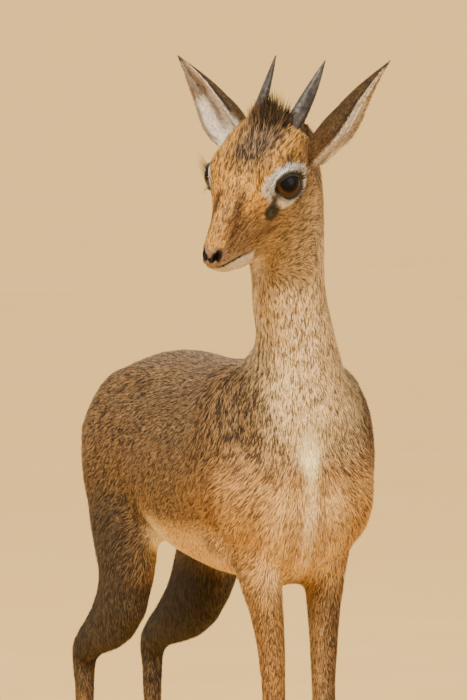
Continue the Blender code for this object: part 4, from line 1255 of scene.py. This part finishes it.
def blades(name, roots, up, flow, side, length, width, lift, bend, root_tone, tone, tip_tone,
           spots, material):
    """Thin blades of two triangles, pointed at root and tip and bent at the middle, as a mesh."""
    count = len(roots)
    length, width, lift, bend = (values[:, None] for values in (length, width, lift, bend))
    first = flow * np.cos(lift) + up * np.sin(lift)
    second = flow * np.cos(bend * lift) + up * np.sin(bend * lift)
    base = roots - up * ROOT_DEPTH
    knee = base + first * length * KNEE
    tip = knee + second * length * (1.0 - KNEE)
    points = np.stack([base, knee + side * width * 0.5, knee - side * width * 0.5, tip], 1)
    colours = np.stack([root_tone, tone, tone, tip_tone], 1)
    start = np.arange(count)[:, None] * 4
    loops = (start + np.array([0, 1, 2, 2, 1, 3])).ravel()
    mesh = bpy.data.meshes.new(name)
    mesh.vertices.add(count * 4)
    mesh.vertices.foreach_set("co", points.astype(np.float32).ravel())
    mesh.loops.add(count * 6)
    mesh.loops.foreach_set("vertex_index", loops.astype(np.int32))
    mesh.polygons.add(count * 2)
    mesh.polygons.foreach_set("loop_start", (np.arange(count * 2) * 3).astype(np.int32))
    mesh.update(calc_edges=True)
    add_tint(mesh, colours.reshape(-1, 3))
    patch = np.array([(0.5, 0), (1, 0.5), (0, 0.5), (0, 0.5), (1, 0.5), (0.5, 1)]) * BAKE_PATCH
    uv = np.clip(spots, 0.0, 1.0 - BAKE_PATCH)[:, None, :] + patch
    layer = mesh.uv_layers.new(name="OFBake")
    layer.data.foreach_set("uv", uv.astype(np.float32).ravel())
    return new_object(name, mesh, material)


# Eyes, lids and lashes

def build_eye(name, sign, material):
    """An eyeball with a raised cornea and its own gaze coordinates for the iris."""
    centre = on_head(*mirror_side(EYE_PLACE, sign))
    look, corner, up = eye_axes(sign)
    rings, gaze = [], []
    steps, sides = 56, 72
    for step in range(steps + 1):
        angle = math.pi * (0.004 + 0.992 * step / steps)
        flat = math.sin(angle) * EYE_RADIUS
        forward = math.cos(angle) * EYE_RADIUS
        cornea = max(0.0, 1.0 - (flat / (8.6 * MM)) ** 2) ** 2 if forward > 0.0 else 0.0
        ring = []
        for index in range(sides):
            turn = 2.0 * math.pi * index / sides
            x, y = flat * math.cos(turn), flat * math.sin(turn)
            ring.append(centre + corner * x + up * y + look * (forward + 0.5 * MM * cornea))
            gaze.append((x / MM, y / MM, 1.0 if forward > 0.0 else 0.0))
        rings.append(ring)
    thing = loft(name, rings, material)
    gaze += [(0.0, 0.0, 1.0), (0.0, 0.0, 0.0)]
    layer = thing.data.attributes.new("gaze", "FLOAT_VECTOR", "POINT")
    layer.data.foreach_set("vector", np.array(gaze).ravel())
    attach(thing, "root")
    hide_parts(name.replace("ball_", ""))
    return thing


def eye_material():
    """A wide pupil with a painted bluish sky reflection above, in a brown iris with a dark rim, under a
    wet gloss.
    """
    material, tree, shader = new_material("eye", 0.35, 0.0)
    gaze = add_node(tree, "ShaderNodeAttribute", attribute_name="gaze")

    def reach(middle, half_width, half_height):
        """Distance from a middle in the eye's gaze coordinates, 1 on an ellipse round it."""
        place = add_node(tree, "ShaderNodeMapping")
        scale = Vector((1.0 / half_width, 1.0 / half_height, 0.0))
        place.inputs["Scale"].default_value = scale
        place.inputs["Location"].default_value = (-middle[0] * scale.x, -middle[1] * scale.y, 0.0)
        length = add_node(tree, "ShaderNodeVectorMath", operation="LENGTH")
        tree.links.new(gaze.outputs["Vector"], place.inputs["Vector"])
        tree.links.new(place.outputs["Vector"], length.inputs[0])
        return length.outputs["Value"]

    iris = ramp(tree, reach((0.3, 0.1), 9.4, 8.2), [
        (0.50, tuple(linear(50, 27, 15))), (0.74, tuple(linear(92, 58, 32))),
        (0.86, tuple(linear(66, 41, 24))), (0.95, tuple(linear(18, 13, 11)))])
    streaks = noise_node(tree, 900.0, 3.0)
    fibres = ramp(tree, streaks.outputs["Fac"], [(0.35, (0.60,) * 3), (0.7, (1.15,) * 3)])
    colour = mix_colours(tree, 1.0, iris.outputs["Color"], fibres.outputs["Color"], "MULTIPLY")
    # Painted reflection: a bluish reflection of the sky painted into the upper pupil, near black below.
    painted_sky_reflection = ramp(tree, reach((0.6, 4.6), 7.0, 5.0), [
        (0.2, (0.009, 0.011, 0.022)), (1.0, (0.002, 0.002, 0.003))])
    pupil = ramp(tree, reach((0.5, 1.7), 7.0, 5.4), [(0.88, (0.0,) * 3), (1.0, (1.0,) * 3)])
    colour = mix_colours(tree, pupil.outputs["Color"], painted_sky_reflection.outputs["Color"], colour)
    tree.links.new(colour, shader.inputs["Base Color"])
    shader.inputs["Coat Weight"].default_value = 1.0
    shader.inputs["Coat Roughness"].default_value = 0.04
    shader.inputs["Coat IOR"].default_value = 1.22
    return material


def build_lids(name, sign, material):
    """The bare dark rim of both lids as one closed ring that rests on the eyeball."""
    centre = on_head(*mirror_side(EYE_PLACE, sign))
    look, corner, up = eye_axes(sign)
    sides = 96
    section = [(-0.05, 0.0), (0.0, 0.28), (0.25, 0.55), (0.8, 0.68), (1.5, 0.62), (2.1, 0.38),
               (2.5, -0.1), (2.6, -0.9), (1.6, -1.4), (0.4, -0.9)]
    points = []
    for index in range(sides):
        angle = 2.0 * math.pi * index / sides
        upper = max(math.sin(angle), 0.0)
        for outward, rise in section:
            x, y = lid_edge(np.array([angle]), outward * (1.0 + 0.35 * upper))
            x, y = float(x[0]) * MM, float(y[0]) * MM
            radius = EYE_RADIUS + (rise * (1.0 + 0.5 * upper) + 0.03) * MM
            depth = math.sqrt(max(EYE_RADIUS ** 2 - x * x - y * y, 0.0))
            toward = (corner * x + up * y + look * depth).normalized()
            points.append(centre + toward * radius)
    faces = grid_faces(sides, len(section), True)
    last = (sides - 1) * len(section)
    for index in range(len(section)):
        after = (index + 1) % len(section)
        faces.append((last + index, last + after, after, index))
    mesh = mesh_from_arrays(name, points, faces)
    form = bmesh.new()
    form.from_mesh(mesh)
    bmesh.ops.recalc_face_normals(form, faces=form.faces)
    form.to_mesh(mesh)
    form.free()
    shade_smooth(mesh)
    thing = new_object(name, mesh, material)
    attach(thing, "root")
    return thing


def build_lashes(name, sign, material):
    """Curved tapering lashes on the upper lid and shorter ones on the lower lid."""
    draw = random.Random(31)
    centre = on_head(*mirror_side(EYE_PLACE, sign))
    look, corner, up = eye_axes(sign)
    points, faces = [], []
    steps = 6
    rows = [(math.radians(20 + 2.2 * index), 1.0) for index in range(70)]
    rows += [(math.radians(205 + 3.6 * index), -1.0) for index in range(34)]
    for angle, half in rows:
        angle += draw.uniform(-0.02, 0.02)
        x, y = (float(value[0]) * MM for value in lid_edge(np.array([angle]), 0.8))
        depth = math.sqrt(max(EYE_RADIUS ** 2 - x * x - y * y, 0.0))
        toward = (corner * x + up * y + look * depth).normalized()
        root = centre + toward * (EYE_RADIUS + 0.6 * MM)
        away = (corner * x + up * y).normalized()
        back = 0.5 * max(-math.cos(angle), -0.2)
        reach = (9.0 if half > 0.0 else 5.2) * MM * draw.uniform(0.7, 1.1)
        reach *= 1.0 - 0.45 * max(math.cos(angle), 0.0) ** 2
        reach *= 1.0 - 0.55 * max(-math.cos(angle), 0.0) ** 6
        direction = (look * 0.75 + away * (0.55 + 0.1 * half) - corner * back).normalized()
        across = direction.cross(away + look * 0.01).normalized()
        start = len(points)
        for step in range(steps):
            t = step / steps
            bend = away * reach * 0.42 * t * t
            middle = root + direction * reach * t + bend
            half_width = 0.20 * MM * (1.0 - t)
            points.append(middle - across * half_width)
            points.append(middle + across * half_width)
        points.append(root + direction * reach + away * reach * 0.42)
        for step in range(steps - 1):
            low = start + 2 * step
            faces.append((low, low + 1, low + 3, low + 2))
        faces.append((start + 2 * steps - 2, start + 2 * steps - 1, start + 2 * steps))
    thing = new_object(name, mesh_from_arrays(name, points, faces), material)
    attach(thing, "root")
    return thing


# Horns and hooves

def build_horn(name, sign, material):
    """A spike of oval section, faintly ringed and rough near its root and smooth at the tip."""
    draw = random.Random(41 + int(sign))
    root, tip = Vector(mirror_side(HORN_ROOT, sign)), Vector(mirror_side(HORN_TIP, sign))
    rings, steps, sides = [], 120, 36
    for step in range(steps + 1):
        t = step / steps
        centre = root.lerp(tip, t)
        centre.y -= 0.10 * math.sin(math.pi * t)
        wave = math.sin(2.0 * math.pi * 13.0 * t ** 0.92 + 0.6 * math.sin(9.0 * t))
        ridge = 1.0 + 0.032 * wave * max(1.0 - t / 0.52, 0.0)
        broad = (HORN_BROAD * (1.0 - t ** 2.2) * ridge + 0.25 * MM) / CM
        narrow = (HORN_NARROW * (1.0 - t) ** 0.75 * ridge + 0.25 * MM) / CM
        oval = []
        for index in range(sides):
            angle = sign * 2.0 * math.pi * index / sides
            rough = 1.0 + 0.012 * math.sin(7.0 * angle + 11.0 * t) + draw.uniform(-0.005, 0.005)
            far, near = broad * rough * math.cos(angle), narrow * rough * math.sin(angle)
            out = near * math.cos(HORN_TURN) - far * math.sin(HORN_TURN)
            side = far * math.cos(HORN_TURN) + near * math.sin(HORN_TURN)
            oval.append(on_head(centre.x, centre.y + out, centre.z + sign * side))
        rings.append(oval)
    thing = loft(name, rings, material)
    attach(thing, "root")
    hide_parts(name.replace("ringed_", ""))
    return thing


def horn_material():
    """Near-black horn with worn paler flecks in broad lighter and darker patches, fine bump and a soft
    sheen.
    """
    material, tree, shader = new_material("horn", 0.40, 0.4)
    fibres = noise_node(tree, 260.0, 6.0)
    patches = noise_node(tree, 55.0, 3.0)
    base = ramp(tree, fibres.outputs["Fac"], [
        (0.30, tuple(linear(34, 31, 31))), (0.58, tuple(linear(70, 64, 61))),
        (0.85, tuple(linear(116, 107, 99)))])
    dark = ramp(tree, patches.outputs["Fac"], [(0.3, (0.80,) * 3), (0.7, (1.08,) * 3)])
    tree.links.new(mix_colours(tree, 1.0, base.outputs["Color"], dark.outputs["Color"], "MULTIPLY"),
                   shader.inputs["Base Color"])
    add_bump(tree, shader, fibres.outputs["Fac"], 0.0004)
    return material


def build_hoof(name, material):
    """Two pointed claws side by side, with a flat sole and a soft top under the hair."""
    low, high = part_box(name)
    middle = (Vector(low) + Vector(high)) / 2.0
    half_length = (high[1] - low[1]) / 2.0
    form_parts = []
    for sign in (-1.0, 1.0):
        rings = []
        levels = 10
        for level in range(levels + 1):
            share = level / levels
            height = (SOLE_TO_CORONET + 1.5 * MM) * share
            length = half_length * (1.0 - 0.26 * share)
            width = (3.85 + 0.35 * math.sin(math.pi * share) - 0.45 * share) * MM
            centre_y = middle.y + half_length * (0.0 + 0.24 * share)
            edge = 0.35 * MM if level == 0 else 0.0
            ring = []
            sides = 28
            for index in range(sides):
                angle = 2.0 * math.pi * index / sides
                forward = math.cos(angle)
                narrow = 1.0 - 0.42 * max(forward, 0.0) ** 1.8
                across = math.copysign(abs(math.sin(angle)) ** 0.8, math.sin(angle))
                x = middle.x + sign * (width + 0.25 * MM) + (width - edge) * across * narrow
                x -= sign * width * (1.0 - narrow) * 0.45
                ring.append(Vector((x, centre_y - (length - edge) * forward, height)))
            rings.append(ring)
        form_parts.append(loft(name + "_claw", rings))
    form = bmesh.new()
    for part in form_parts:
        form.from_mesh(part.data)
        bpy.data.objects.remove(part)
    mesh = bpy.data.meshes.new(name + "_claws")
    form.to_mesh(mesh)
    form.free()
    shade_smooth(mesh)
    thing = new_object(name + "_claws", mesh, material)
    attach(thing, "root")
    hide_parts(name)
    return thing


def hoof_material():
    """Near-black horn with fine growth lines across it and dust in them."""
    material, tree, shader = new_material("hoof", 0.48, 0.4)
    lines = noise_node(tree, 300.0, 4.0, (0.25, 0.25, 2.2))
    base = ramp(tree, lines.outputs["Fac"], [
        (0.3, tuple(linear(30, 26, 23))), (0.6, tuple(linear(58, 50, 43))),
        (0.85, tuple(linear(96, 84, 70)))])
    tree.links.new(base.outputs["Color"], shader.inputs["Base Color"])
    add_bump(tree, shader, lines.outputs["Fac"], 0.0004)
    return material


def lid_material():
    material, tree, shader = new_material("lid_rim", 0.36, 0.4)
    creases = noise_node(tree, 700.0, 4.0)
    base = ramp(tree, creases.outputs["Fac"], [
        (0.3, tuple(linear(11, 11, 13))), (0.7, tuple(linear(36, 37, 42)))])
    tree.links.new(base.outputs["Color"], shader.inputs["Base Color"])
    add_bump(tree, shader, creases.outputs["Fac"], 0.0004)
    return material


def lash_material():
    material, tree, shader = new_material("lash", 0.5, 0.3)
    tone = noise_node(tree, 200.0, 2.0)
    base = ramp(tree, tone.outputs["Fac"], [(0.3, (0.010, 0.008, 0.007)), (0.8, (0.035, 0.026, 0.02))])
    tree.links.new(base.outputs["Color"], shader.inputs["Base Color"])
    return material


# Floor, light and camera

VIEW_AZIMUTH = math.radians(-18.0)
VIEW_ELEVATION = math.radians(3.0)
VIEW_DISTANCE = 5.0
VIEW_TARGET = Vector((-0.00285, -0.00093, 0.372))
PIXELS_PER_METRE = 1580.0
PICTURE_HEIGHT = 700.0
SENSOR = 36.0
FLOOR_REACH = 160.0


def build_floor():
    """A pale level floor that reaches past the top of the picture, so no edge of it shows."""
    reach = FLOOR_REACH
    corners = [(-reach, -reach, 0), (reach, -reach, 0), (reach, reach, 0), (-reach, reach, 0)]
    mesh = mesh_from_arrays("floor", corners, [(0, 1, 2, 3)])
    material, tree, shader = new_material("floor", 0.9, 0.1)
    grain = noise_node(tree, 3.0)
    base = ramp(tree, grain.outputs["Fac"], [(0.3, (0.70, 0.46, 0.17)), (0.7, (0.73, 0.49, 0.19))])
    tree.links.new(base.outputs["Color"], shader.inputs["Base Color"])
    floor = new_object("floor", mesh, material)


def build_light():
    """A broad soft key from the upper left, a fill, a rim light and a pale warm surround."""
    world = bpy.data.worlds.new("surround")
    bpy.context.scene.world = world
    world.use_nodes = True
    sky = world.node_tree.nodes["Background"]
    sky.inputs["Color"].default_value = (0.93, 0.85, 0.74, 1.0)
    sky.inputs["Strength"].default_value = 0.80
    lamps = [
        ("key", "SUN", (-1.30, -1.25, 2.50), math.radians(32.0), 5.4, (1.0, 0.88, 0.68)),
        ("fill", "AREA", (1.50, -2.20, 1.10), 2.0, 20.0, (1.0, 0.93, 0.84)),
        ("rim", "AREA", (0.60, 2.00, 2.30), 1.2, 18.0, (1.0, 0.90, 0.74)),
    ]
    for name, kind, place, size, power, colour in lamps:
        data = bpy.data.lights.new(name, kind)
        if kind == "SUN":
            data.angle = size
        else:
            data.shape = "DISK"
            data.size = size
        data.energy = power
        data.color = colour
        lamp = bpy.data.objects.new(name, data)
        lamp.location = place
        aim = Vector((0.0, -0.1, 0.4)) - Vector(place)
        lamp.rotation_euler = aim.to_track_quat("-Z", "Y").to_euler()
        MODEL.objects.link(lamp)


def build_camera():
    """The photograph's view: nearly level, from the animal's front and a little to its right."""
    back = Vector((math.sin(VIEW_AZIMUTH) * math.cos(VIEW_ELEVATION),
                   -math.cos(VIEW_AZIMUTH) * math.cos(VIEW_ELEVATION), math.sin(VIEW_ELEVATION)))
    data = bpy.data.cameras.new("camera")
    data.sensor_width = SENSOR
    data.lens = SENSOR * PIXELS_PER_METRE * VIEW_DISTANCE / PICTURE_HEIGHT
    data.clip_end = 2.0 * FLOOR_REACH
    camera = bpy.data.objects.new("camera", data)
    target = VIEW_TARGET + Vector((DRAWN_SHIFT.x, DRAWN_SHIFT.y, 0.0))
    camera.location = target + back * VIEW_DISTANCE
    camera.rotation_euler = (-back).to_track_quat("-Z", "Y").to_euler()
    MODEL.objects.link(camera)
    bpy.context.scene.camera = camera


# Making everything

build_camera()
build_floor()
build_light()

skin = gather_flesh()
melt(skin)
refine_face(skin)
sculpt(skin)
coat_known = finish_skin(skin, [build_ear(name) for name in EARS])
skin.data.materials.append(skin_material())
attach(skin, "root")
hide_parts(*FLESH, *EARS)

BLADES = 690000
grow_coat(skin, coat_known, BLADES, tinted_material("coat", 0.62, 700.0, 0.10, 0.0))

eye, lid, lash, horn, hoof = (eye_material(), lid_material(), lash_material(), horn_material(),
                              hoof_material())
for word, sign in (("left", 1.0), ("right", -1.0)):
    build_eye("ball_eye_" + word, sign, eye)
    build_lids("lids_" + word, sign, lid)
    build_lashes("lashes_" + word, sign, lash)
    build_horn("ringed_horn_" + word, sign, horn)
for name in FEET:
    build_hoof(name, hoof)
